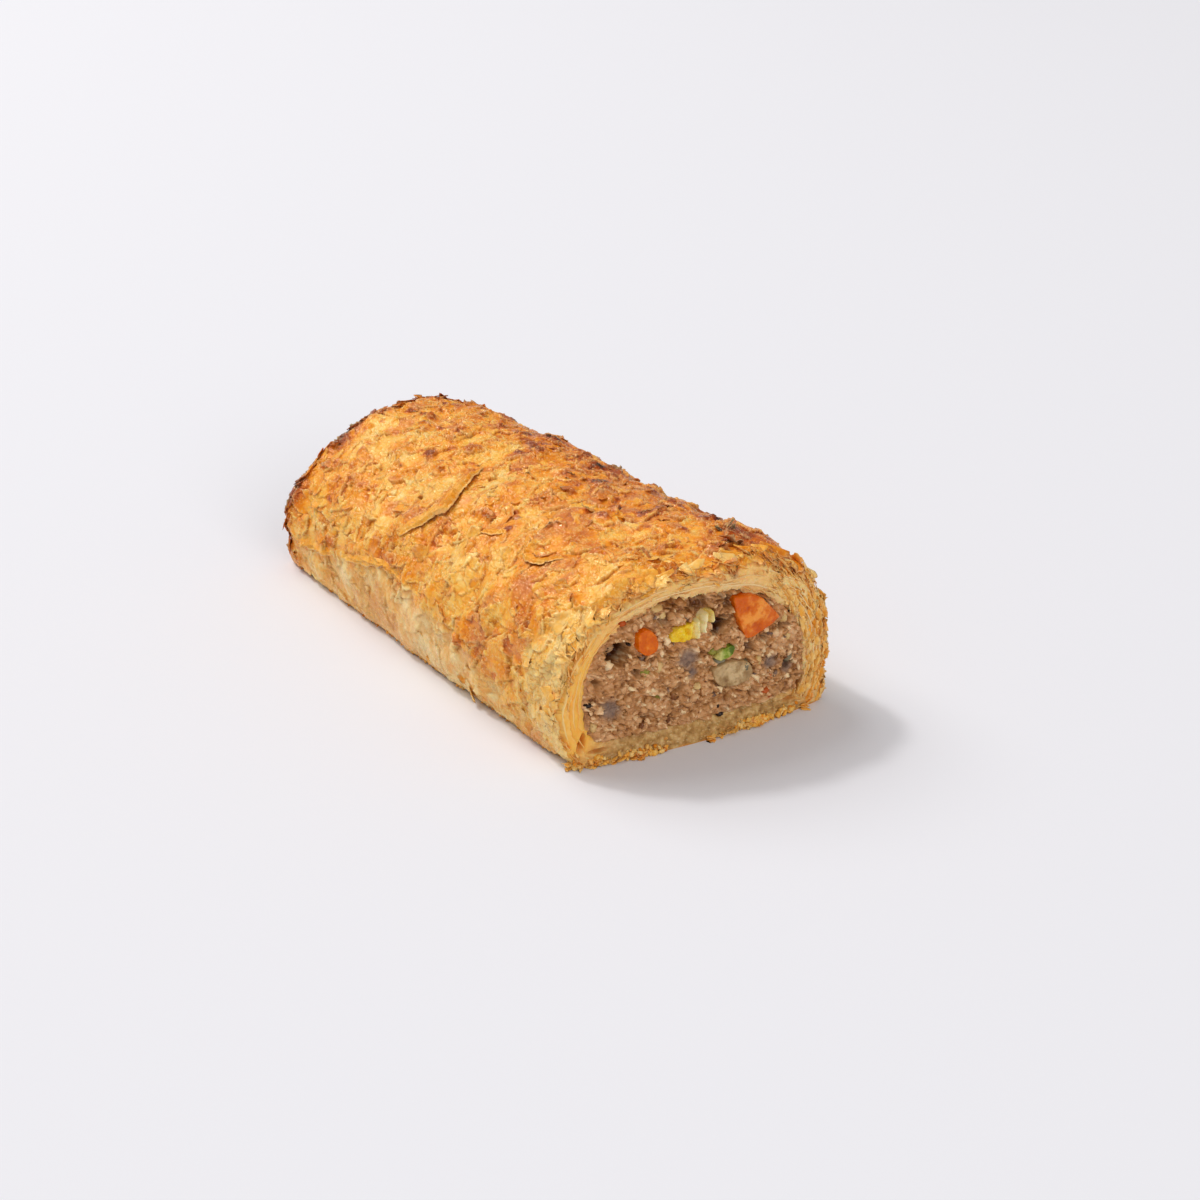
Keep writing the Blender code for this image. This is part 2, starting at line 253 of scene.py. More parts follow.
# the flaky upper skin ends along this line of the left side, and smoother dough shows below it
skinEdge = ((0, 9.0), (12, 11.5), (27, 14.5), (49, 20.5), (66, 18.5), (83, 16.0), (96, 12.0), (108, 7.0), (122, 4.0))
# broad browning: (mm along, mm around, reach along, reach around, how much)
bakedPlaces = (
    (60, 84, 70, 12, 0.20), (64, 58, 45, 24, 0.05), (20, 66, 30, 20, 0.05), (1, 44, 5, 7, 0.62), (1, 24, 5, 6, 0.60), (0, 66, 3, 22, 0.42), (0, 10, 4, 6, 0.30),
    (105, 80, 16, 10, 0.22), (70, 46, 7, 5, 0.12), (97, 36, 9, 6, 0.14), (88, 66, 12, 8, 0.12), (22, 34, 9, 7, 0.10),
    (34, 57, 9, 6, 0.10), (10, 22, 6, 4, 0.10), (117, 55, 5, 14, 0.02),
    (118, 14, 9, 16, -0.28), (119, 104, 10, 14, -0.25), (122, 60, 3.5, 60, -0.14), (116, 32, 7, 9, -0.12), (106, 12, 10, 7, -0.08),
    (112, 48, 10, 8, -0.12), (80, 30, 12, 5, -0.06), (30, 44, 12, 8, -0.10), (58, 60, 12, 6, -0.07),
)
# the larger dark blisters: (mm along, mm around, radius, how dark)
blisterPlaces = (
    (31, 51, 1.8, 0.85), (37, 59, 1.9, 0.75), (33, 56, 1.2, 0.6), (45, 70, 1.5, 0.8), (49, 70, 1.6, 0.85),
    (46, 66, 1.3, 0.8), (54, 49, 1.2, 0.8), (71, 49, 0.8, 0.9), (76, 44, 1.2, 0.9), (70, 71, 2.0, 0.95),
    (84, 66, 1.6, 0.8), (91, 68, 1.5, 0.95), (88, 60, 1.5, 0.7), (119, 56, 1.2, 0.7), (64, 67, 1.3, 0.6),
    (22, 60, 1.3, 0.7), (12, 62, 1.2, 0.8), (8, 72, 1.5, 0.85), (24, 46, 1.1, 0.6), (17, 27, 1.0, 0.75),
    (6, 33, 1.0, 0.6), (14, 52, 1.1, 0.6), (60, 78, 2.0, 0.8), (78, 80, 1.8, 0.8), (40, 80, 1.7, 0.8),
    (100, 78, 1.6, 0.85), (28, 74, 1.5, 0.8), (52, 86, 1.8, 0.75), (68, 90, 1.7, 0.7),
)
# edges of broken sheets that stand up: the sheet lies on the left of the line's way
sheetEdges = (
    dict(path=((49, 28.5), (52, 33), (56, 39), (54.5, 43), (51, 47), (49, 52), (47, 56)), height=1.25, reach=2.3),
    dict(path=((86, 45), (87.5, 41.5), (91, 40), (95.5, 41.5), (98, 45)), height=0.9, reach=1.8),
    dict(path=((7, 10.5), (13, 12), (20, 13.2), (27, 15.5)), height=0.8, reach=1.6),
    dict(path=((31, 16.5), (40, 18.5), (49, 21), (58, 20)), height=0.55, reach=1.3),
    dict(path=((69, 39), (71, 40.3), (74.4, 41.3), (77, 43)), height=0.6, reach=1.4),
)


class CrustMap:
    pass


def boxBlur(field, cells, rounds=2):
    # a running mean over both directions, taken from running sums
    half = cells // 2
    for step in range(rounds):
        for axis in (0, 1):
            edge = [(0, 0), (0, 0)]
            edge[axis] = (half + 1, half)
            total = np.cumsum(np.pad(field, edge, "edge"), axis=axis)
            ahead = np.take(total, np.arange(cells, total.shape[axis]), axis=axis)
            behind = np.take(total, np.arange(0, total.shape[axis] - cells), axis=axis)
            field = (ahead - behind) / cells
    return field


def makeCrustMap():
    cm = CrustMap()
    cm.t = np.linspace(0, 1, crustLook["alongCells"] + 1)
    cm.turn = np.linspace(0, 1, crustLook["aroundCells"] + 1)
    cm.along = cm.t * rollForm["bodyLength"]
    cm.around = cm.turn * rollForm["archLength"]
    s, a = np.meshgrid(cm.along, cm.around, indexing="ij")
    cm.s, cm.a = s, a
    cm.height = crustLook["swell"] * layeredNoise(s * 0.8, a, 7.5, 5, 3, 0.45)
    cm.pale, cm.crevice, cm.burn = np.zeros(s.shape), np.zeros(s.shape), np.zeros(s.shape)
    cm.tone = 0.5 + 0.45 * layeredNoise(s, a, 6.0, 3)
    cm.grainTurn = 1.4 + 0.8 * layeredNoise(s, a, 25.0, 6, 2)
    cm.curly = np.clip(0.5 + 0.9 * layeredNoise(s, a, 14.0, 7, 2), 0, 1)
    cm.ragged = layeredNoise(s, a, 1.5, 21, 3, 0.75)
    # how far below the skin's edge: 1 in the smoother dough near the two feet
    leftEdge = np.interp(s, [p[0] for p in skinEdge], [p[1] for p in skinEdge])
    rightEdge = rollForm["archLength"] - 13 + 3 * np.sin(s * 0.11)
    edgeNoise = 2.6 * layeredNoise(s, a * 0.5, 6.0, 8, 4, 0.7)
    bare = 0.32 + 0.65 * np.exp(-((s - 58) / 34) ** 2) + 0.25 * layeredNoise(s, a, 12.0, 9, 2)
    cm.dough = (softStep(1.5, -1.5, a - leftEdge + edgeNoise) + softStep(-1.5, 1.5, a - rightEdge + edgeNoise))
    cm.dough = cm.dough * np.clip(bare, 0.15, 1)
    return cm


def layFlake(cm, rng, s0, a0, radius, stretch, lean, thickness, curl, tone):
    # one flake: a ragged many-sided patch that is tucked in on one side and stands free on the other
    reach = radius * stretch + 1.0
    i0, i1 = np.searchsorted(cm.along, [s0 - reach, s0 + reach])
    j0, j1 = np.searchsorted(cm.around, [a0 - reach, a0 + reach])
    if i1 - i0 < 4 or j1 - j0 < 4:
        return
    here = (slice(i0, i1), slice(j0, j1))
    ds, da = cm.s[here] - s0, cm.a[here] - a0
    p, q = (ds * cos(lean) + da * sin(lean)) / stretch, da * cos(lean) - ds * sin(lean)
    sides = int(rng.integers(5, 9))
    angles = (np.arange(sides) + rng.uniform(-0.38, 0.38, sides)) * 2 * pi / sides + rng.uniform(0, 2 * pi)
    reaches = radius * rng.uniform(0.5, 1.0, sides)
    inside = np.min([r - (p * cos(w) + q * sin(w)) for w, r in zip(angles, reaches)], axis=0)
    inside = inside + crustLook["raggedness"] * min(1.0, 0.35 + 0.3 * radius) * cm.ragged[here]
    mask = inside > 0
    if mask.sum() < 9:
        return
    freeWay = rng.uniform(0, 2 * pi)
    free = softStep(-0.2, 0.5, (p * cos(freeWay) + q * sin(freeWay)) / radius)
    height = cm.height[here]
    bed = 0.45 * height[mask].mean() + 0.55 * height
    top = bed + thickness * (0.1 + 1.0 * free) + curl * free * (0.8 * np.exp(-inside / 0.5) + 0.14 * radius * free)
    share = np.where(mask, free + (1 - free) * softStep(0.0, 0.3 + 0.3 * radius, inside), 0.0)
    rim = free * rng.uniform(0.3, 1.0)
    # painted shadow: a dark band just outside the flake's free, lifted rim
    outside = (inside <= 0) & (inside > -0.4)
    dark = np.clip(1 + inside / 0.4, 0, 1) * rim * min(1.0, 0.30 + 2.0 * curl)
    cm.crevice[here] = np.where(outside, np.maximum(cm.crevice[here], dark), cm.crevice[here] * (1 - share))
    cm.height[here] = height * (1 - share) + top * share
    # the free rim is paled: a thin edge is lighter, and the paleness also serves as a painted highlight
    cm.pale[here] = cm.pale[here] * (1 - share) + share * np.exp(-np.maximum(inside, 0) / 0.2) * rim
    shade = tone + rng.uniform(-0.35, 0.45) * (free - 0.5) + 0.10 * cm.ragged[here]
    cm.tone[here] = cm.tone[here] * (1 - share) + shade * share
    sharp = share > 0.5
    cm.grainTurn[here] = np.where(sharp, lean + rng.normal(0, 0.5), cm.grainTurn[here])
    cm.curly[here] = np.where(sharp, rng.uniform(0, 1), cm.curly[here])


def layFlakes(cm):
    rng = np.random.default_rng(crustLook["seed"])
    width, length = rollForm["archLength"], rollForm["bodyLength"]
    kinds = ((crustLook["sheetCount"], 1.75, 0.28, 1.0), (crustLook["flakeCount"], 0.85, 0.40, 1.0),
             (crustLook["chipCount"], 0.0, 0.40, 0.8))
    for count, middle, spread, gain in kinds:
        for index in range(count):
            s0, a0 = rng.uniform(-1, length + 1), rng.uniform(-1, width + 1)
            i, j = int(s0 / length * crustLook["alongCells"]), int(a0 / width * crustLook["aroundCells"])
            dough = cm.dough[min(max(i, 0), crustLook["alongCells"]), min(max(j, 0), crustLook["aroundCells"])]
            radius = float(np.clip(rng.lognormal(middle, spread), 0.55, 9.0))
            stretch, lean = rng.uniform(1.0, 1.8), pi / 2 + rng.normal(0, 0.9)
            thickness = gain * crustLook["thickness"] * rng.uniform(0.5, 1.5)
            curl = gain * crustLook["curl"] * max(0.0, rng.normal(0.45, 0.5))
            tone = float(np.clip(rng.normal(0.5, 0.28), 0, 1))
            clump = 0.5 + 0.5 * np.sin(0.31 * s0 + 2.0 * np.sin(0.13 * a0)) * np.sin(0.27 * a0 + 1.7 * np.sin(0.11 * s0))
            if rng.uniform() < 0.93 * dough or (middle == 0.0 and rng.uniform() > clump):
                continue
            layFlake(cm, rng, s0, a0, radius, stretch, lean, thickness, curl * (1 - 0.5 * dough), tone)


def pathDistance(points, s, a):
    # distance to a bent line, with its sign: positive on the left of the line's way
    points = np.array(points, dtype=float)
    best, side = np.full(s.shape, 1e9), np.zeros(s.shape)
    share = np.zeros(s.shape)
    for number, ((s0, a0), (s1, a1)) in enumerate(zip(points[:-1], points[1:])):
        ds, da = s1 - s0, a1 - a0
        along = np.clip(((s - s0) * ds + (a - a0) * da) / (ds * ds + da * da), 0, 1)
        gap = np.hypot(s - s0 - along * ds, a - a0 - along * da)
        closer = gap < best
        best = np.where(closer, gap, best)
        side = np.where(closer, np.sign(ds * (a - a0) - da * (s - s0)), side)
        share = np.where(closer, (number + along) / (len(points) - 1), share)
    return best * side, share


def raiseEdges(cm):
    # a broken sheet's edge: it rises towards its rim, then drops to a gap whose darkness is painted shade; the rim is
    # paled as a thin edge and a painted highlight
    for edge in sheetEdges:
        gap, share = pathDistance(edge["path"], cm.s, cm.a)
        gap = gap + 0.35 * cm.ragged + 0.7 * layeredNoise(cm.s, cm.a, 3.0, 24, 2)
        fade = np.clip(4 * share, 0, 1) * np.clip(4 * (1 - share), 0, 1)
        sheet = np.clip(gap, 0, None)
        cm.height += 0.6 * edge["height"] * fade * np.exp(-(sheet / edge["reach"]) ** 1.3) * (gap > 0)
        under = np.exp(-(np.clip(-gap, 0, None) / 0.45) ** 2) * (gap <= 0) * fade
        cm.height -= 0.15 * edge["height"] * under
        # painted shade in the gap under the standing edge
        darkened = 0.8 * under * min(1.0, 0.4 + 0.6 * edge["height"])
        cm.crevice = np.maximum(cm.crevice * (1 - fade * (np.abs(gap) < 0.6)), darkened)
        cm.pale = np.maximum(cm.pale, fade * np.exp(-sheet / 0.35) * (gap > 0))


def layBlister(cm, s0, a0, radius, height, burn, phase):
    # a bubble in the skin: a low wrinkled dome, burnt on top
    i0, i1 = np.searchsorted(cm.along, [s0 - radius * 1.6, s0 + radius * 1.6])
    j0, j1 = np.searchsorted(cm.around, [a0 - radius * 1.6, a0 + radius * 1.6])
    if i1 <= i0 or j1 <= j0:
        return
    here = (slice(i0, i1), slice(j0, j1))
    ds, da = cm.s[here] - s0, cm.a[here] - a0
    angle = np.arctan2(da, ds)
    wobble = 1 + 0.16 * np.sin(2 * angle + phase) + 0.10 * np.sin(3 * angle + 2.3 * phase) + 0.10 * cm.ragged[here]
    share = np.hypot(ds / 1.15, da) / (radius * wobble)
    dome = np.clip(1 - share ** 2, 0, 1)
    cm.height[here] += height * dome ** 0.8
    cm.pale[here] *= 1 - 0.8 * (dome > 0.15)
    # painted shade: a dark ring round the blister's foot
    cm.crevice[here] = np.maximum(cm.crevice[here] * (1 - dome), 0.25 * np.exp(-((share - 1.08) / 0.12) ** 2))
    cm.burn[here] = np.maximum(cm.burn[here], burn * softStep(-0.20, 0.62, 1 - share ** 1.5 + 0.3 * cm.ragged[here]))


def layBlisters(cm):
    rng = np.random.default_rng(crustLook["seed"] + 1)
    for s0, a0, radius, burn in blisterPlaces:
        layBlister(cm, s0, a0, radius, 0.32 * radius, burn, rng.uniform(0, 6))
    for index in range(crustLook["blisterCount"]):
        s0, a0 = rng.uniform(1, rollForm["bodyLength"]), rng.normal(72, 24)
        radius, burn = float(np.clip(rng.lognormal(-0.15, 0.4), 0.4, 2.0)), rng.beta(1.6, 2.2)
        if 6 < a0 < 118:
            layBlister(cm, s0, a0, radius, rng.uniform(0.2, 0.45) * radius, burn, rng.uniform(0, 6))


def wrinkleSkin(cm):
    # fine creases: long ones that run the way each flake lies, and curly ones like a brain's
    u = cm.s * np.cos(cm.grainTurn) + cm.a * np.sin(cm.grainTurn)
    v = cm.a * np.cos(cm.grainTurn) - cm.s * np.sin(cm.grainTurn)
    bend = 0.5 * layeredNoise(cm.s, cm.a, 2.2, 41, 2)
    longCreases = 1 - 2 * np.abs(layeredNoise(v / 0.62 + bend, u / 3.2, 1.0, 42, 2, 0.5))
    bendS, bendA = 0.7 * layeredNoise(cm.s, cm.a, 1.9, 43, 2), 0.7 * layeredNoise(cm.s, cm.a, 1.9, 44, 2)
    curlyCreases = 1 - 2.6 * np.abs(layeredNoise(cm.s + bendS, cm.a + bendA, 0.95, 45, 2, 0.4))
    grain, grain2, grainTone = cellNoise(cm.s, cm.a, 1.15, 46)
    grains = np.clip(1 - (grain / (0.12 + 0.14 * grainTone)) ** 2, 0, 1) * (grainTone > 0.55)
    smooth = 1 - 0.6 * np.clip(cm.dough, 0, 1)
    gain = smooth * (0.5 + 0.7 * np.clip(0.5 + layeredNoise(cm.s, cm.a, 8.0, 47, 2), 0, 1))
    cm.creases = (1 - cm.curly) * longCreases + cm.curly * curlyCreases
    cm.height += gain * (crustLook["wrinkleDepth"] * (1 - cm.curly) * longCreases
                         + crustLook["curlyDepth"] * cm.curly * curlyCreases)
    cm.height += crustLook["grainHeight"] * grains
    cm.grains = grains
    # the dough below the skin hangs in soft upright pleats
    pleats = layeredNoise(cm.s, cm.a * 0.45, 4.2, 48, 3) + 0.3 * layeredNoise(cm.s, cm.a * 0.7, 1.3, 49, 2)
    cm.pleats = pleats * np.clip(cm.dough, 0, 1)
    cm.height += 0.5 * cm.pleats
    cm.height -= 0.25 * np.clip(cm.dough, 0, 1)


def settleHeights(cm):
    # the build-up of flakes loses its broad part, so the roll keeps its form
    cm.height = cm.height - boxBlur(cm.height, 55)
    cm.rise = cm.height - boxBlur(cm.height, 9)
    cm.lump = boxBlur(cm.height, 9)


def crustPoints(cm):
    # the roll's arch swept from the baked end to the cut, pushed out by the broad relief and the flakes
    loops = np.array([archPoints(sizesAt(t), cm.turn) for t in cm.t])
    edge = np.clip(np.minimum(cm.turn, 1 - cm.turn) * 46 / 3, 0, 1)[None, :]
    t = cm.t[:, None]
    nearEnd = np.clip(1 - t * rollForm["bodyLength"] / rollForm["farRounding"], 0, 1)
    tuck = rollForm["farRounding"] * (1 - np.sqrt(1 - nearEnd ** 2)) * rollForm["farTuck"]
    # beside the cut the skin rounds over into the wall
    nearCut = np.clip((cm.s - rollForm["bodyLength"]) / rollForm["cutRounding"] + 1, 0, 1)
    turnIn = (1 - np.sqrt(1 - 0.97 * nearCut ** 2)) * (1 + 0.35 * layeredNoise(cm.s * 0.2, cm.a, 4.0, 54, 3))
    height = ((broadRelief(t, cm.turn[None, :]) - tuck - rollForm["cutTuck"] * turnIn) * edge
              + cm.height * np.clip(edge * 3, 0, 1))
    loops = loops + outwardNormals(loops) * height[..., None]
    y, z = loops[..., 0], np.maximum(loops[..., 1], 0.0)
    x = farX(z) + (cutX(y) - farX(z)) * t
    x = x - (0.55 + 0.45 * layeredNoise(0 * cm.s, cm.a, 2.6, 55, 4, 0.7)) * nearCut ** 2 * edge
    return np.stack([x, y, z], axis=-1)


def crustColours(cm):
    # how brown each point is baked, where the skin is pale or painted with highlights, where painted shade darkens its
    # gaps and hollows, and where it is pink or doughy
    bake = 0.30 + 0.16 * layeredNoise(cm.s, cm.a, 16.0, 51, 3) + 0.13 * layeredNoise(cm.s, cm.a, 3.0, 52, 4, 0.7)
    for s0, a0, reachS, reachA, gain in bakedPlaces:
        bake = bake + gain * np.exp(-((cm.s - s0) / reachS) ** 2 - ((cm.a - a0) / reachA) ** 2)
    # high ground is baked browner; the finest ridges are painted paler as a highlight and the hollows between them
    # painted deep orange as shade
    bake = bake + 0.36 * (cm.tone - 0.5) + 0.18 * np.clip(cm.lump, -0.5, 0.8) - 0.38 * np.clip(cm.rise, -0.3, 0.2)
    # painted shade: the hollows of the dough's pleats are made browner, their crests paler
    bake = bake - 0.26 * cm.pleats - 0.10 * np.clip(cm.dough, 0, 1)
    # painted shade: the deeper hollows join the dark mask
    cm.crevice = np.maximum(cm.crevice, 0.6 * softStep(-0.12, -0.36, cm.rise))
    cm.brown = np.clip(np.maximum(bake, 0) + 0.54 * cm.burn * (1 - 0.5 * bake), 0, 1)
    cm.pink = np.clip(softStep(0.0, 0.4, layeredNoise(cm.s, cm.a, 7.0, 53, 3)) * softStep(0.35, 0.6, cm.tone) * (1 - cm.burn), 0, 1)
    # painted highlight: the finest ridges are paled, and the tiny raised grains are paled strongly as painted glints
    ridges = 0.35 * softStep(0.10, 0.30, cm.rise) * (1 - cm.burn)
    cm.pale = np.clip(np.maximum(cm.pale, ridges) + 0.9 * cm.grains * (1 - cm.burn), 0, 1)


print("laying the flakes")
crustMap = makeCrustMap()
layFlakes(crustMap)
raiseEdges(crustMap)
layBlisters(crustMap)
wrinkleSkin(crustMap)
settleHeights(crustMap)
crustColours(crustMap)
crustGrid = crustPoints(crustMap)


def shaderMaterial(name):
    material = bpy.data.materials.new(name)
    material.use_nodes = True
    return material, material.node_tree.nodes, material.node_tree.links, material.node_tree.nodes["Principled BSDF"]


def srgb(red, green, blue):
    channel = np.array([red, green, blue]) / 255.0
    linear = np.where(channel <= 0.04045, channel / 12.92, ((channel + 0.055) / 1.055) ** 2.4)
    return (*[float(value) for value in linear], 1.0)


def attributeNode(nodes, key):
    node = nodes.new("ShaderNodeAttribute")
    node.attribute_name = key
    return node.outputs["Fac"]


def mixColours(nodes, links, share, first, second):
    node = nodes.new("ShaderNodeMix")
    node.data_type = "RGBA"
    links.new(share, node.inputs[0])
    for socket, value in ((node.inputs[6], first), (node.inputs[7], second)):
        if isinstance(value, tuple):
            socket.default_value = value
        else:
            links.new(value, socket)
    return node.outputs[2]


def colourRamp(nodes, links, share, stops):
    # colours laid along a value from 0 to 1
    ramp = nodes.new("ShaderNodeValToRGB")
    while len(ramp.color_ramp.elements) < len(stops):
        ramp.color_ramp.elements.new(0.5)
    for element, (place, colour) in zip(ramp.color_ramp.elements, stops):
        element.position = place
        element.color = srgb(*colour)
    links.new(share, ramp.inputs[0])
    return ramp.outputs[0]


def mathNode(nodes, links, operation, *values):
    node = nodes.new("ShaderNodeMath")
    node.operation = operation
    for socket, value in zip(node.inputs, values):
        if isinstance(value, (int, float)):
            socket.default_value = value
        else:
            links.new(value, socket)
    return node.outputs[0]


def makeGrainGroup():
    # shared by every baked or moist surface: two sizes of noise give a mottle value and a bumped normal
    group = bpy.data.node_groups.new("foodGrain", "ShaderNodeTree")
    for name, kind, start in (("Size", "NodeSocketFloat", 0.8), ("Depth", "NodeSocketFloat", 0.3),
                              ("Relief mm", "NodeSocketFloat", 0.1)):
        socket = group.interface.new_socket(name, in_out="INPUT", socket_type=kind)
        socket.default_value = start
    group.interface.new_socket("Mottle", in_out="OUTPUT", socket_type="NodeSocketFloat")
    group.interface.new_socket("Fine", in_out="OUTPUT", socket_type="NodeSocketFloat")
    group.interface.new_socket("Normal", in_out="OUTPUT", socket_type="NodeSocketVector")
    nodes, links = group.nodes, group.links
    start, end = nodes.new("NodeGroupInput"), nodes.new("NodeGroupOutput")
    place = nodes.new("ShaderNodeTexCoord").outputs["Object"]
    perMetre = mathNode(nodes, links, "DIVIDE", 1000.0, start.outputs["Size"])
    values = []
    for gain, detail in ((1.0, 3.0), (3.1, 2.0)):
        noise = nodes.new("ShaderNodeTexNoise")
        noise.inputs["Detail"].default_value = detail
        links.new(place, noise.inputs["Vector"])
        links.new(mathNode(nodes, links, "MULTIPLY", perMetre, gain), noise.inputs["Scale"])
        values.append(noise.outputs["Fac"])
    both = mathNode(nodes, links, "ADD", values[0], mathNode(nodes, links, "MULTIPLY", values[1], 0.5))
    bump = nodes.new("ShaderNodeBump")
    links.new(mathNode(nodes, links, "MULTIPLY", both, 1.0), bump.inputs["Height"])
    links.new(start.outputs["Depth"], bump.inputs["Strength"])
    links.new(mathNode(nodes, links, "MULTIPLY", start.outputs["Relief mm"], 0.001), bump.inputs["Distance"])
    links.new(values[0], end.inputs["Mottle"])
    links.new(values[1], end.inputs["Fine"])
    links.new(bump.outputs["Normal"], end.inputs["Normal"])
    return group


grainGroup = makeGrainGroup()


def placeGrain(nodes, size, depth, relief):
    node = nodes.new("ShaderNodeGroup")
    node.node_tree = grainGroup
    node.inputs["Size"].default_value = size
    node.inputs["Depth"].default_value = depth
    node.inputs["Relief mm"].default_value = relief
    return node.outputs["Mottle"], node.outputs["Fine"], node.outputs["Normal"]


def mapValue(nodes, links, value, low, high, newLow, newHigh):
    node = nodes.new("ShaderNodeMapRange")
    links.new(value, node.inputs["Value"])
    for key, number in (("From Min", low), ("From Max", high), ("To Min", newLow), ("To Max", newHigh)):
        node.inputs[key].default_value = number
    return node.outputs["Result"]


def makeCrinkleGroup():
    # the finest marks of baked skin: thin curly ridges where a noise crosses its middle, cracks along the edges
    # of bent cells, and pinprick pits; the ridges and cracks bump the normal, more in some patches than others
    group = bpy.data.node_groups.new("bakedCrinkles", "ShaderNodeTree")
    for name, kind, way in (("Size", "Float", "INPUT"), ("Relief mm", "Float", "INPUT"), ("Normal", "Vector", "INPUT"),
                            ("Ridges", "Float", "OUTPUT"), ("Cracks", "Float", "OUTPUT"), ("Pits", "Float", "OUTPUT"),
                            ("Normal", "Vector", "OUTPUT")):
        group.interface.new_socket(name, in_out=way, socket_type="NodeSocket" + kind)
    nodes, links = group.nodes, group.links
    start, end = nodes.new("NodeGroupInput"), nodes.new("NodeGroupOutput")
    place = nodes.new("ShaderNodeTexCoord").outputs["Object"]
    perMetre = mathNode(nodes, links, "DIVIDE", 1000.0, start.outputs["Size"])

    def noise(gain, detail, bend):
        node = nodes.new("ShaderNodeTexNoise")
        links.new(place, node.inputs["Vector"])
        links.new(mathNode(nodes, links, "MULTIPLY", perMetre, gain), node.inputs["Scale"])
        node.inputs["Detail"].default_value, node.inputs["Distortion"].default_value = detail, bend
        return node.outputs

    def cells(vector, gain, feature):
        node = nodes.new("ShaderNodeTexVoronoi")
        node.feature = feature
        links.new(vector, node.inputs["Vector"])
        links.new(mathNode(nodes, links, "MULTIPLY", perMetre, gain), node.inputs["Scale"])
        return node.outputs

    offCentre = mathNode(nodes, links, "ABSOLUTE", mathNode(nodes, links, "SUBTRACT", noise(1.0, 1.0, 0.7)["Fac"], 0.5))
    patches = mapValue(nodes, links, noise(0.16, 2.0, 0.0)["Fac"], 0.40, 0.62, 0.25, 1.0)
    ridges = mathNode(nodes, links, "MULTIPLY", mapValue(nodes, links, offCentre, 0.0, 0.085, 1.0, 0.0), patches)
    bent = nodes.new("ShaderNodeVectorMath")
    bent.operation = "MULTIPLY_ADD"
    links.new(noise(0.45, 3.0, 0.0)["Color"], bent.inputs[0])
    bent.inputs[1].default_value = (0.004, 0.004, 0.004)
    links.new(place, bent.inputs[2])
    some = mapValue(nodes, links, noise(0.22, 1.0, 0.0)["Fac"], 0.52, 0.62, 0.0, 0.7)
    edges = cells(bent.outputs[0], 0.20, "DISTANCE_TO_EDGE")["Distance"]
    cracks = mathNode(nodes, links, "MULTIPLY", mapValue(nodes, links, edges, 0.004, 0.03, 1.0, 0.0), some)
    pits = mapValue(nodes, links, cells(place, 0.33, "F1")["Distance"], 0.05, 0.09, 1.0, 0.0)
    bump = nodes.new("ShaderNodeBump")
    links.new(mathNode(nodes, links, "SUBTRACT", ridges, cracks), bump.inputs["Height"])
    links.new(mathNode(nodes, links, "MULTIPLY", start.outputs["Relief mm"], 0.001), bump.inputs["Distance"])
    links.new(start.outputs["Normal"], bump.inputs["Normal"])
    for key, value in (("Ridges", ridges), ("Cracks", cracks), ("Pits", pits), ("Normal", bump.outputs["Normal"])):
        links.new(value, end.inputs[key])
    return group


crinkleGroup = makeCrinkleGroup()


def placeCrinkles(nodes, links, size, relief, normal):
    node = nodes.new("ShaderNodeGroup")
    node.node_tree = crinkleGroup
    node.inputs["Size"].default_value = size
    node.inputs["Relief mm"].default_value = relief
    links.new(normal, node.inputs["Normal"])
    return [node.outputs[key] for key in ("Ridges", "Cracks", "Pits", "Normal")]


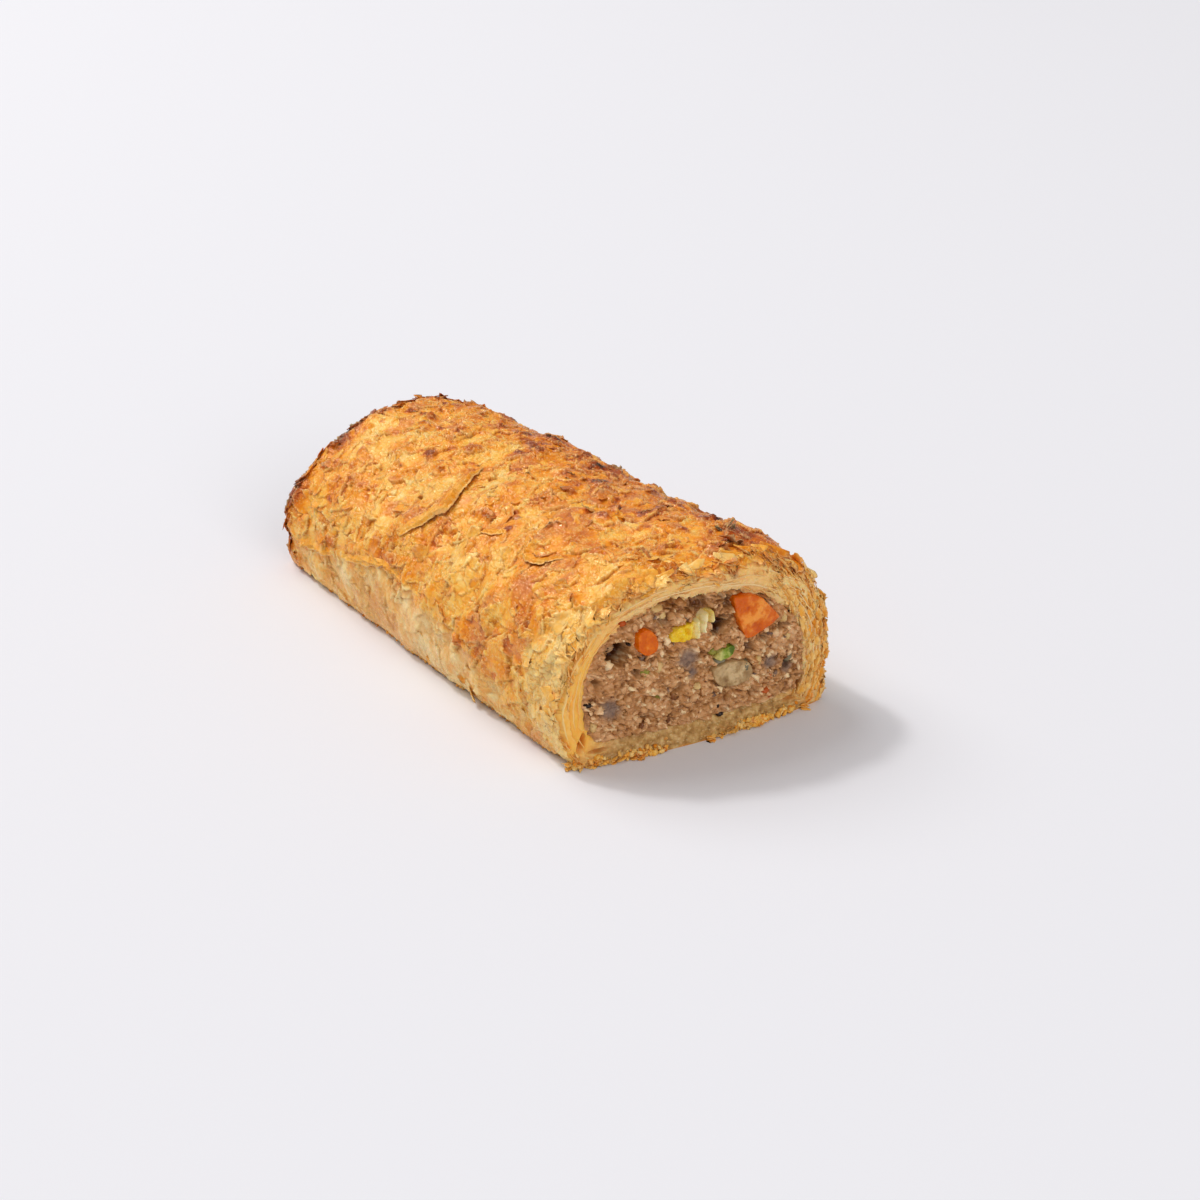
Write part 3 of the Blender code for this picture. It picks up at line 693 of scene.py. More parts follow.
def crustMaterial(name, subsurface):
    material, nodes, links, shader = shaderMaterial(name)
    mottle, fine, normal = placeGrain(nodes, 1.6, 0.5, 0.14)
    ridges, cracks, pits, normal = placeCrinkles(nodes, links, 1.0, 0.10, normal)
    brown = mathNode(nodes, links, "ADD", attributeNode(nodes, "brown"), mapValue(nodes, links, mottle, 0.3, 0.7, -0.07, 0.07))
    # painted highlight: the crinkles' ridges are taken a little paler
    brown = mathNode(nodes, links, "ADD", brown, mapValue(nodes, links, ridges, 0, 1, 0.03, -0.06))
    brown = mathNode(nodes, links, "ADD", brown, mapValue(nodes, links, fine, 0.3, 0.7, -0.03, 0.03))
    colour = colourRamp(nodes, links, brown, ((0.0, (255, 218, 142)), (0.20, (254, 190, 80)), (0.40, (242, 150, 28)),
                                              (0.58, (212, 110, 8)), (0.76, (160, 62, 0)), (0.92, (118, 40, 0)), (1.0, (44, 16, 4))))
    colour = mixColours(nodes, links, mapValue(nodes, links, attributeNode(nodes, "pink"), 0, 1, 0, 0.36), colour,
                        srgb(224, 148, 92))
    doughColour = colourRamp(nodes, links, brown, ((0.0, (255, 222, 158)), (0.28, (242, 182, 100)), (0.60, (204, 126, 44)),
                                                   (1.0, (110, 56, 14))))
    colour = mixColours(nodes, links, attributeNode(nodes, "dough"), colour, doughColour)
    # the pale mask: thin rims lighter, with painted highlights on ridges and rims and painted glints on grains
    colour = mixColours(nodes, links, mapValue(nodes, links, attributeNode(nodes, "pale"), 0, 1, 0, 0.62), colour,
                        srgb(255, 224, 160))
    # painted shade in the gaps, hollows and under lifted edges
    colour = mixColours(nodes, links, mapValue(nodes, links, attributeNode(nodes, "crevice"), 0, 1, 0, 0.85), colour,
                        srgb(140, 52, 2))
    # painted highlight on the crinkles' ridges, painted shade in their cracks and pits
    colour = mixColours(nodes, links, mapValue(nodes, links, ridges, 0.2, 1, 0, 0.28), colour, srgb(255, 226, 160))
    colour = mixColours(nodes, links, mapValue(nodes, links, cracks, 0, 1, 0, 0.45), colour, srgb(190, 92, 8))
    colour = mixColours(nodes, links, mapValue(nodes, links, pits, 0, 1, 0, 0.3), colour, srgb(150, 70, 8))
    links.new(colour, shader.inputs["Base Color"])
    links.new(mapValue(nodes, links, mottle, 0.3, 0.7, 0.16, 0.32), shader.inputs["Roughness"])
    links.new(normal, shader.inputs["Normal"])
    shader.inputs["Specular IOR Level"].default_value = 0.40
    shader.inputs["Specular Tint"].default_value = (1.0, 0.84, 0.58, 1.0)
    shader.inputs["Subsurface Weight"].default_value = subsurface
    shader.inputs["Subsurface Radius"].default_value = (1.0, 0.6, 0.35)
    shader.inputs["Subsurface Scale"].default_value = 0.0010
    return material


def finishPiece(piece, material, slot, *replaced):
    piece.data.materials.append(material)
    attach(piece, "root")
    if replaced:
        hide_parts(*replaced)


# a sheet thinner than light's reach keeps it all on its surface
crustFinish, leafFinish = crustMaterial("bakedCrust", 0.28), crustMaterial("bakedLeaves", 0.0)


def makeCrust():
    # the skin is one grid shared out over five pieces, seam to seam
    cm = crustMap
    cuts = np.linspace(0, crustLook["aroundCells"], 6).astype(int)
    names = ("crust_left_foot", "crust_left", "crust_top", "crust_right", "crust_right_foot")
    for name, first, last in zip(names, cuts[:-1], cuts[1:]):
        part = (slice(None), slice(first, last + 1))
        values = {key: getattr(cm, key)[part] for key in ("brown", "pale", "crevice", "pink", "dough")}
        finishPiece(gridMesh(name, crustGrid[part], values, flip=True), crustFinish, "pastry", "pastry")


print("crust")
makeCrust()


def baseLine(sizes, shares):
    # along the base from the right foot back to the left one
    floor = sizes.get("floor", 0.0)
    y = sizes["footRight"] + (-sizes["footLeft"] - sizes["footRight"]) * shares
    return np.c_[y, np.full(len(y), floor)]


# the cut pastry: sheets at the left, top and right of the wall, and how wide apart they open
layerLook = dict(
    baseCells=300, throughCells=72, farThroughCells=46, wallRows=14, wallDepth=5.0,
    countLeft=2.6, countTop=4.4, countRight=5.5, waviness=0.55, gapDepth=0.45, sheetReach=0.80,
)
# (across, up, half width, half height, depth)
cornerPockets = ((-27.9, 5.8, 0.8, 2.0, 2.2), (-24.6, 3.4, 1.9, 0.5, 1.2), (25.0, 5.6, 0.7, 1.9, 1.8), (28.6, 9.0, 0.5, 2.4, 1.4),
                 (22.4, 3.6, 1.8, 0.5, 1.0))
baseShares = np.linspace(0, 1, layerLook["baseCells"] + 1)[1:-1]


def liningLoop(t, gap=0.0):
    sizes = liningAt(t, gap)
    return np.vstack([archPoints(sizes, crustMap.turn), baseLine(sizes, baseShares)])


def outerLoop(row, t):
    # the crust's own rim, closed along the base
    return np.vstack([crustGrid[row][:, 1:], baseLine(sizesAt(t), baseShares)])


def loopLengths(loop):
    # millimetres round a closed line
    steps = np.linalg.norm(np.roll(loop, -1, axis=0) - loop, axis=1)
    return np.r_[0, np.cumsum(steps)[:-1]]


def makeUnderside():
    # the base rests flat, with shallow dents and a few paler floury places
    across = np.linspace(0, 1, 201)
    t = np.linspace(0, 1, 321)
    rows = np.array([baseLine(sizesAt(share), across) for share in t])
    y = rows[..., 0]
    s = t[:, None] * rollForm["bodyLength"] + 0 * y
    edge = np.clip(np.minimum(across, 1 - across) * 30, 0, 1)[None, :]
    dents = (np.clip(layeredNoise(s, y, 7.0, 61, 4) - 0.1, 0, 1) * 1.1
             + np.clip(layeredNoise(s, y * 0.4, 2.2, 64, 3) - 0.25, 0, 1) * 0.5 + 0.08 * (1 + layeredNoise(s, y, 0.9, 62, 2)))
    z = edge * dents * 0.6
    x = farX(0 * y) + (cutX(y) - farX(0 * y)) * t[:, None]
    brown = np.clip(0.62 + 0.30 * layeredNoise(s, y, 16.0, 63, 5, 0.65) - 0.35 * dents, 0, 1)
    plain = 0 * brown
    values = dict(brown=brown, pale=plain, crevice=plain, pink=plain, dough=plain + 0.35)
    return gridMesh("crust_base", np.stack([x, y, z], axis=-1), values, flip=True)


def layeredFace(round_, through, count, seed, smooth, keep):
    # relief of stacked sheets, like terraces: each stands at its own reach and ends in a ragged or scalloped step
    sway = layerLook["waviness"] * layeredNoise(round_, through * 6.0, 17.0, seed, 3)
    sway = sway + 0.26 * layeredNoise(round_, through * 9.0, 4.0, seed + 9, 3)
    torn = 0.30 * layeredNoise(round_, through * 4.0, 1.3, seed + 12, 4, 0.7)
    scallops = 0.24 * layeredNoise(round_, through * 3.0, 2.6, seed + 14, 2)
    place = through * count + sway + torn * (1 - smooth) + scallops * smooth
    index = np.floor(place)
    share = place - index
    own, before, after = (layeredNoise(round_, (index + step) * 37.7, 9.0, seed + 3, 4, 0.6) for step in (0, -1, 1))
    relief = layerLook["sheetReach"] * (own + (after - own) * softStep(0.90, 1.0, share))
    nearStart, nearEnd = np.exp(-(share / 0.11) ** 2), np.exp(-((1 - share) / 0.11) ** 2)
    # the shade at a step's foot is returned for painted shade, and the lip at its edge for a painted highlight as well
    # as a raised rim
    shade = nearStart * softStep(0.05, 0.5, before - own) + nearEnd * softStep(0.05, 0.5, after - own)
    lip = (np.exp(-share / 0.13) * softStep(0.0, 0.5, own - before)
           + np.exp(-np.abs(0.9 - share) / 0.10) * softStep(0.0, 0.5, own - after))
    streaks = layeredNoise(round_ * 0.35, place * 3.2 + 0.5 * torn, 1.0, seed + 15, 3, 0.5)
    relief = relief - layerLook["gapDepth"] * shade + 0.35 * lip * (0.5 + torn) + 0.07 * streaks
    relief = relief + 0.30 * (1 - (2 * share - 1) ** 2) * smooth + 0.16 * layeredNoise(round_, through * 5, 2.2, seed + 7, 3)
    return relief * keep, shade * keep, np.clip(lip, 0, 1) * keep, own, streaks * keep


def makeCutRing():
    # from the crust's rim across the pastry's thickness, then a little way back along the lining
    outer, inner = outerLoop(-1, 1.0), liningLoop(1.0)
    cells, wallRows = layerLook["throughCells"], layerLook["wallRows"]
    through = np.linspace(0, 1, cells + 1)[:, None]
    archCount, total = len(crustMap.turn), len(outer)
    isBase = (np.arange(total) >= archCount).astype(float)
    foot = np.convolve(np.r_[isBase[-50:], isBase, isBase[:50]], np.ones(61) / 61, "same")[50:-50][None, :]
    turn = np.r_[crustMap.turn, np.full(total - archCount, 0.0)][None, :]
    right = softStep(0.58, 0.80, turn) * (1 - isBase[None, :])
    top = softStep(0.20, 0.36, turn) * (1 - softStep(0.58, 0.76, turn))
    left = (1 - top - right).clip(0, 1) * (1 - foot)
    count = layerLook["countLeft"] * (1 - top - right).clip(0, 1) + layerLook["countTop"] * top + layerLook["countRight"] * right
    round_ = loopLengths(outer)[None, :] + 0 * through
    zero = 0 * round_[:1]
    ragged = (1.5 * top * layeredNoise(round_[:1], zero, 5.0, 71, 4, 0.7) + (0.4 + 0.7 * top) * layeredNoise(round_[:1], zero, 1.5, 72, 3, 0.65)
              + 0.55 * left * np.abs(layeredNoise(round_[:1], zero, 3.4, 73, 2)))
    yz = outer[None] * (1 - through[..., None]) + inner[None] * through[..., None]
    normal = (outer - inner) / np.linalg.norm(outer - inner, axis=1, keepdims=True)
    yz = yz - normal[None] * (ragged * (through ** 3) * (1 - 0.4 * foot))[..., None]
    spread = through + 0 * round_
    # the left wall is one smooth sheet, so its layers hardly show
    closed = 1 - 0.75 * left - 0.30 * top
    relief, grooveShade, lip, reach, streaks = layeredFace(round_, spread, count, 81, left, (1 - foot * 0.92) * closed)
    relief = relief + (0.30 * (1 - closed) + 0.45 * top) * layeredNoise(round_, through * 5, 2.6, 93, 3, 0.6)
    fuzz = layeredNoise(round_ * 0.7, through * 6, 1.0, 95, 3, 0.55)
    relief = relief + 0.35 * (left + 0.6 * top) * np.sin(pi * through ** 0.8) + right * 0.34 * fuzz
    relief = relief + 0.35 * foot * layeredNoise(round_, through * 6, 3.5, 96, 4, 0.6)
    bubble, bubble2, bubbleTone = cellNoise(round_, through * 6.0, 1.5, 97)
    bubbles = np.clip(1 - (bubble / (0.10 + 0.22 * bubbleTone)) ** 2, 0, 1) * (bubbleTone > 0.66) * foot
    relief = relief - 0.35 * bubbles - 0.6 * through ** 8
    y, z = yz[..., 0], yz[..., 1]
    # little pockets where the dough folds in at the corners, painted dark as shade
    for pocketY, pocketZ, wide, high, deep in cornerPockets:
        bend = 0.5 * np.sin((z - pocketZ) * 0.6)
        pocket = np.exp(-(((y - pocketY - bend) / wide) ** 2 + ((z - pocketZ) / high) ** 2) ** 2)
        relief, grooveShade = relief - deep * pocket, np.maximum(grooveShade, pocket)
    # the first row is the crust's own rim
    rim = np.r_[crustGrid[-1][:, 0] - cutX(crustGrid[-1][:, 1]), np.zeros(total - archCount)][None, :]
    blend = softStep(0.0, 0.14, through)
    x = cutX(y) + rim * (1 - blend) + relief * blend
    # the lining's wall behind the rim
    back = np.linspace(0, 1, wallRows + 1)[1:, None]
    wallX = x[-1:] - back * layerLook["wallDepth"]
    rows = np.concatenate([np.stack([x, y, z], axis=-1),
                           np.stack([wallX, y[-1:] + 0 * back, z[-1:] + 0 * back], axis=-1)])
    rows = np.concatenate([rows, rows[:, :1]], axis=1)

    def extended(values, last=None):
        full = np.concatenate([values + 0 * y, np.repeat((values + 0 * y)[-1:], wallRows, axis=0)])
        return np.concatenate([full, full[:, :1]], axis=1)

    uneven = layeredNoise(round_, through * 4, 2.4, 98, 3, 0.6)
    dot, dot2, dotTone = cellNoise(round_, through * 5.0, 0.9, 99)
    # pale dots scattered over the foot, put into the same mask as the lips' painted highlight
    lip = np.maximum(lip, foot * np.clip(1 - (dot / 0.2) ** 2, 0, 1) * (dotTone > 0.6) * 0.7)
    skin = np.exp(-through / (0.055 + 0.03 * uneven)) * (1 - 0.5 * foot) + foot * np.exp(-through / 0.12) * (0.5 + 0.6 * uneven)
    moist = softStep(0.15, 0.9, through + 0.25 * reach) * (1 - foot) + foot * softStep(0.04, 0.2, through)
    values = dict(skin=extended(np.clip(skin, 0, 1)), grooveShade=extended(grooveShade), lip=extended(lip),
                  moist=extended(moist), tone=extended(0.5 + (0.45 * reach + 0.22 * streaks) * closed), foot=extended(foot + 0 * through),
                  fuzz=extended(right * (0.5 + 0.5 * fuzz)), warm=extended(left + 0.15 * top + 0.1 * right))
    return gridMesh("cut_layers", rows, values, flip=True)


def makeFarRing():
    # the baked end: the same sheets, closed up and browned
    outer, inner = outerLoop(0, 0.0), liningLoop(0.0)
    through = np.linspace(0, 1, layerLook["farThroughCells"] + 1)[:, None]
    round_ = loopLengths(outer)[None, :] + 0 * through
    yz = outer[None] * (1 - through[..., None]) + inner[None] * through[..., None]
    ragged = 0.8 * layeredNoise(round_[:1], 0 * round_[:1], 4.5, 113, 4, 0.7)
    normal = (outer - inner) / np.linalg.norm(outer - inner, axis=1, keepdims=True)
    yz = yz - normal[None] * (ragged * through ** 3)[..., None]
    relief, grooveShade, lip, reach, streaks = layeredFace(round_, through + 0 * round_, 4.2, 111, 0.3, 1.0)
    edge = softStep(0.0, 0.08, through)
    relief = (1.2 * relief + 0.5 * layeredNoise(round_, through * 6, 5.0, 114, 3)) * edge - 1.0 * through ** 6
    y, z = yz[..., 0], yz[..., 1]
    x = farX(z) - relief
    rows = np.stack([x, y, z], axis=-1)
    rows = np.concatenate([rows, rows[:, :1]], axis=1)
    burnt = softStep(0.1, 0.6, layeredNoise(round_, through * 3, 14.0, 112, 3))
    brown = np.clip(0.46 + 0.22 * reach + 0.18 * streaks + 0.34 * burnt * (1 - through) - 0.10 * through, 0, 1)
    # painted highlight on the lips and painted shade in the grooves, through the crust's pale and shade masks
    values = dict(brown=brown, pale=0.7 * lip, crevice=0.7 * grooveShade, pink=0 * brown, dough=0.5 * through + 0 * brown)
    values = {key: np.concatenate([value, value[:, :1]], axis=1) for key, value in values.items()}
    return gridMesh("far_layers", rows, values)


vegetablePlan = dict(
    carrot_large=dict(corners=((6.2, 32.4), (10.4, 31.9), (13.6, 30.4), (14.9, 28.9), (18.6, 24.6), (16.0, 23.2),
                               (11.6, 21.9), (9.4, 22.0), (8.2, 24.4), (6.9, 28.6)),
                      depth=9.0, proud=1.0, rounding=0.13, relief=0.30),
    carrot_small=dict(corners=((-16.2, 28.9), (-14.3, 29.9), (-12.4, 28.5), (-11.5, 26.2), (-11.9, 24.1), (-14.2, 23.5),
                               (-16.0, 24.9)), depth=6.0, proud=1.0, rounding=0.2, relief=0.2),
    leek_curl=dict(corners=((-9.0, 25.6), (-8.6, 27.4), (-7.4, 28.3), (-4.6, 28.7), (-2.6, 29.4), (-1.2, 31.0),
                            (1.3, 30.9), (1.6, 28.9), (-0.9, 28.0), (-1.5, 25.9), (-3.6, 25.0), (-6.4, 24.9)),
                   depth=5.0, proud=0.9, rounding=0.2, relief=0.6, fade=(-4.8, -1.6), ruffle=0.9),
    leek_green=dict(corners=((2.0, 19.0), (3.6, 20.9), (7.4, 21.0), (6.6, 18.6), (3.4, 18.1)),
                    depth=4.0, proud=0.5, rounding=0.22, relief=0.35, fade=(4.6, 2.4), ruffle=0.2),
    onion_piece=dict(corners=((1.4, 16.6), (5.2, 17.3), (10.2, 16.7), (12.4, 13.6), (11.2, 11.3), (7.0, 11.1), (3.0, 12.0)),
                     depth=5.0, proud=0.3, rounding=0.2, relief=0.35),
)
# hollows in the cut face: (across, up, radius, depth), mm
faceHollows = (
    (-19.8, 24.6, 2.5, 5.0), (3.2, 26.2, 2.2, 2.4), (-2.0, 32.6, 2.4, 1.4), (21.5, 12.6, 1.4, 1.6),
    (10.8, 19.2, 1.5, 1.8), (-15.8, 19.6, 0.9, 1.5), (5.0, 31.2, 1.5, 1.6), (-9.6, 30.4, 1.4, 1.4),
    (-24.6, 18.4, 1.3, 1.3), (-6.0, 14.2, 1.3, 1.1), (15.6, 20.4, 1.3, 1.3), (20.4, 22.2, 1.2, 1.2),
    (-13.4, 9.2, 1.3, 1.0), (12.4, 8.4, 1.2, 1.0),
)
# smooth grey lumps: (across, up, radius), mm
gristleSpots = ((-4.2, 20.4, 2.5), (16.8, 14.2, 1.9), (-21.7, 12.5, 2.5), (21.6, 11.6, 1.6), (-3.0, 16.8, 1.2))
fillingLook = dict(acrossCells=340, upCells=230, tuckCells=5, lumpHeight=1.0, grainHeight=0.62, speckHeight=0.16,
                   crackDepth=1.0)


def outlineDistance(corners, y, z):
    # signed distance to a many-cornered outline, positive inside
    points = np.array(corners)
    best = np.full(y.shape, 1e9)
    crossings = np.zeros(y.shape, dtype=int)
    for (ay, az), (by, bz) in zip(points, np.roll(points, -1, axis=0)):
        along = np.clip(((y - ay) * (by - ay) + (z - az) * (bz - az)) / ((by - ay) ** 2 + (bz - az) ** 2), 0, 1)
        best = np.minimum(best, np.hypot(y - ay - along * (by - ay), z - az - along * (bz - az)))
        if az != bz:
            crossings += ((az > z) != (bz > z)) & (y < (by - ay) * (z - az) / (bz - az) + ay)
    return np.where(crossings % 2 == 1, best, -best)


def minceRelief(y, z, seed=121):
    # crumbled meat: lumps, angular grains and specks, with ragged cracks between them
    wy = y + 1.2 * layeredNoise(y, z, 3.4, seed, 3)
    wz = z + 1.1 * layeredNoise(y, z, 3.4, seed + 1, 3)
    lump, lump2, lumpTone = cellNoise(wy * 0.65, wz * 1.2, 3.4, seed + 2)
    grain, grain2, grainTone = cellNoise(wy * 0.8, wz * 1.25, 1.5, seed + 3)
    speck, speck2, speckTone = cellNoise(wy, wz * 1.2, 0.62, seed + 4)
    shelves = layeredNoise(wy * 0.30, wz * 1.3, 2.6, seed + 8, 4, 0.6)
    smears = softStep(0.05, 0.5, layeredNoise(wy * 0.7, wz * 1.3, 3.0, seed + 9, 3))
    lumps = softStep(0.0, 1.1, lump2 - lump) * (0.4 + 0.9 * lumpTone)
    grains = softStep(0.0, 0.5, grain2 - grain) * (0.25 + grainTone)
    specks = softStep(0.0, 0.22, speck2 - speck) * speckTone
    ragged = np.abs(layeredNoise(wy * 0.8, wz * 1.7, 4.6, seed + 5, 4, 0.65))
    cracks = softStep(0.10, 0.0, ragged) * softStep(-0.3, 0.4, layeredNoise(y, z, 7.0, seed + 6, 2))
    relief = (fillingLook["lumpHeight"] * lumps + fillingLook["grainHeight"] * grains + fillingLook["speckHeight"] * specks
              + 0.55 * layeredNoise(y, z * 1.3, 6.5, seed + 7, 3) + 0.65 * shelves - fillingLook["crackDepth"] * cracks)
    tone = 0.20 + 0.22 * grainTone + 0.18 * lumpTone + 0.10 * speckTone + 0.26 * smears + 0.30 * (speckTone > 0.92)
    # the dark mask is painted shade in the cracks and in the gaps between grains and specks
    return relief - 0.9, tone, np.clip(cracks + 0.7 * (1 - grains) * (1 - specks) - 0.2, 0, 1)


def hollowShare(y, z):
    # 1 at the bottom of a hollow, 0 outside it, with a ragged rim
    share, depth = np.zeros(y.shape), np.zeros(y.shape)
    wobble = 1 + 0.30 * layeredNoise(y, z, 1.7, 131, 3, 0.7)
    for hollowY, hollowZ, radius, deep in faceHollows:
        near = np.exp(-((((y - hollowY) ** 2 + (z - hollowZ) ** 2) / (radius * wobble) ** 2) ** 3))
        share = np.maximum(share, min(1.0, deep / 3.0) * near)
        depth = np.maximum(depth, deep * near)
    return share, depth


def gristleShare(y, z):
    share = sum(np.exp(-(((y - a) ** 2 + (z - b) ** 2) / (r * (1 + 0.15 * layeredNoise(y, z, 2.0, 133, 2))) ** 2) ** 2)
                for a, b, r in gristleSpots)
    return np.clip(share, 0, 1)


def liningSpan(sizes, heights):
    # the lining's left and right at each height
    loop = archPoints(sizes, np.linspace(0, 1, 1201))
    crown = int(np.argmax(loop[:, 1]))
    left, right = loop[:crown + 1], loop[crown:][::-1]
    return np.interp(heights, left[:, 1], left[:, 0]), np.interp(heights, right[:, 1], right[:, 0])


def makeMinceFace():
    # rows run from the floor to the crown of the lining, each from its left wall to its right
    sizes = liningAt(1.0, -0.5)
    low, high = sizes["floor"], sizes["crownZ"]
    rise = np.linspace(0, 1, fillingLook["upCells"] + 1)
    heights = low + (high - low) * (1 - (1 - rise) ** 1.45) * 0.9995
    left, right = liningSpan(sizes, heights)
    across = np.linspace(0, 1, fillingLook["acrossCells"] + 1)[None, :]
    y = left[:, None] + (right - left)[:, None] * across
    z = heights[:, None] + 0 * y
    relief, tone, dark = minceRelief(y, z)
    # the meat under the crown is made a little darker and browner
    underCrown = np.exp(-((y - 1.0) / 6.5) ** 2 - ((z - 32.5) / 3.5) ** 2)
    tone, dark = tone - 0.22 * underCrown, np.clip(dark + 0.35 * underCrown, 0, 1)
    edge = np.minimum.reduce([(across + 0 * y) * (right - left)[:, None], (1 - across + 0 * y) * (right - left)[:, None],
                              z - low, (high - z) * 1.6])
    share, depth = hollowShare(y, z)
    gristle = gristleShare(y, z)
    face = cutX(y) + relief * (1 - 0.75 * gristle) - 0.1 * gristle - depth
    for plan in vegetablePlan.values():
        inside = outlineDistance(plan["corners"], y, z)
        face = np.where(inside > -0.35, np.minimum(face, cutX(y) + plan["proud"] - 1.5), face)
    topGap = softStep(24.0, 31.0, z)
    face = face - (1.2 + 2.0 * topGap) * np.exp(-edge / (0.5 + 0.6 * topGap)) - 3.0 * np.exp(-edge / 0.12)
    values = dict(tone=tone, dark=dark, gristle=gristle, hollowShade=np.clip(1.4 * share ** 1.4, 0, 1), baked=0 * tone)
    return gridMesh("mince_face", np.stack([face, y, z], axis=-1), values)


def makeMinceBody():
    # the filling's bar behind the face, closed by its baked end at the far side
    turns, baseTurns = np.linspace(0, 1, 301), np.linspace(0, 1, 101)[1:-1]
    stations = np.linspace(0, 1, 9)
    loops = np.array([np.vstack([archPoints(liningAt(t, 0.15), turns), baseLine(liningAt(t, 0.15), baseTurns)])
                      for t in stations])
    x = farX(loops[..., 1]) + (cutX(loops[..., 0]) - 4.0 - farX(loops[..., 1])) * stations[:, None]
    bar = np.concatenate([x[..., None], loops], axis=-1)
    edge = loops[0]
    centre = edge.mean(axis=0)
    share = 1 - (np.linspace(0, 1, 62)[1:-1]) ** 0.85
    yz = centre + (edge - centre) * share[:, None, None]
    relief, tone, dark = minceRelief(yz[..., 0] + 50, yz[..., 1])
    swell = np.clip(1 - (yz[..., 0] / rollEnds["far"]["halfLeft"]) ** 2, 0, 1)
    backX = farX(yz[..., 1]) - 1.0 * swell - 0.9 * relief + 1.3 * np.exp(-(1 - share[:, None]) / 0.05)
    rows = np.concatenate([np.concatenate([backX[..., None], yz], axis=-1)[::-1], bar])
    tipBack = rows[0].mean(axis=0)
    tipFront = rows[-1].mean(axis=0)
    y, z = rows[..., 1], rows[..., 2]
    relief, tone, dark = minceRelief(y + 50, z)
    baked = np.clip(0.55 + 0.4 * layeredNoise(y, z, 5.0, 137, 3), 0, 1)
    baked = baked * (np.arange(len(rows)) < len(share) + 3)[:, None]
    values = dict(tone=tone, dark=dark, gristle=0 * tone, baked=baked, hollowShade=0 * tone)
    return loftMesh("mince", rows[:, ::-1], tipBack, tipFront, {key: value[:, ::-1] for key, value in values.items()})


def loftMesh(name, rows, tipFirst, tipLast, attributes):
    # closed rings carried one after another, with a point closing each end
    count, columns = rows.shape[:2]
    index = np.arange(count * columns).reshape(count, columns)
    index = np.concatenate([index, index[:, :1]], axis=1)
    quads = np.stack([index[:-1, :-1], index[:-1, 1:], index[1:, 1:], index[1:, :-1]], axis=-1).reshape(-1, 4)
    first, last = count * columns, count * columns + 1
    capFirst = np.stack([index[0, 1:], index[0, :-1], np.full(columns, first)], axis=-1)
    capLast = np.stack([index[-1, :-1], index[-1, 1:], np.full(columns, last)], axis=-1)
    points = np.vstack([rows.reshape(-1, 3), tipFirst, tipLast])
    mesh = bpy.data.meshes.new(name)
    fillMixedMesh(mesh, points, quads, np.vstack([capFirst, capLast]))
    for key, values in attributes.items():
        flat = np.asarray(values).reshape(-1)
        giveAttribute(mesh, key, np.r_[flat, values[0].mean(), values[-1].mean()])
    return linkPiece(name, mesh)


def fillMixedMesh(mesh, points, quads, triangles):
    mesh.vertices.add(len(points))
    mesh.vertices.foreach_set("co", ((points + formShift) * mm).astype(np.float32).ravel())
    corners = np.r_[quads.ravel(), triangles.ravel()]
    starts = np.r_[np.arange(0, quads.size, 4), quads.size + np.arange(0, triangles.size, 3)]
    mesh.loops.add(corners.size)
    mesh.loops.foreach_set("vertex_index", corners.astype(np.int32))
    mesh.polygons.add(len(starts))
    mesh.polygons.foreach_set("loop_start", starts.astype(np.int32))
    mesh.update(calc_edges=True)
    mesh.polygons.foreach_set("use_smooth", np.ones(len(starts), dtype=bool))
    mesh.validate()


def roundCorners(corners, share, passes=2):
    # every corner of an outline cut in two, twice over
    points = np.array(corners)
    for step in range(passes):
        ahead = np.roll(points, -1, axis=0)
        points = np.stack([points * (1 - share) + ahead * share, points * share + ahead * (1 - share)], axis=1).reshape(-1, 2)
    return points


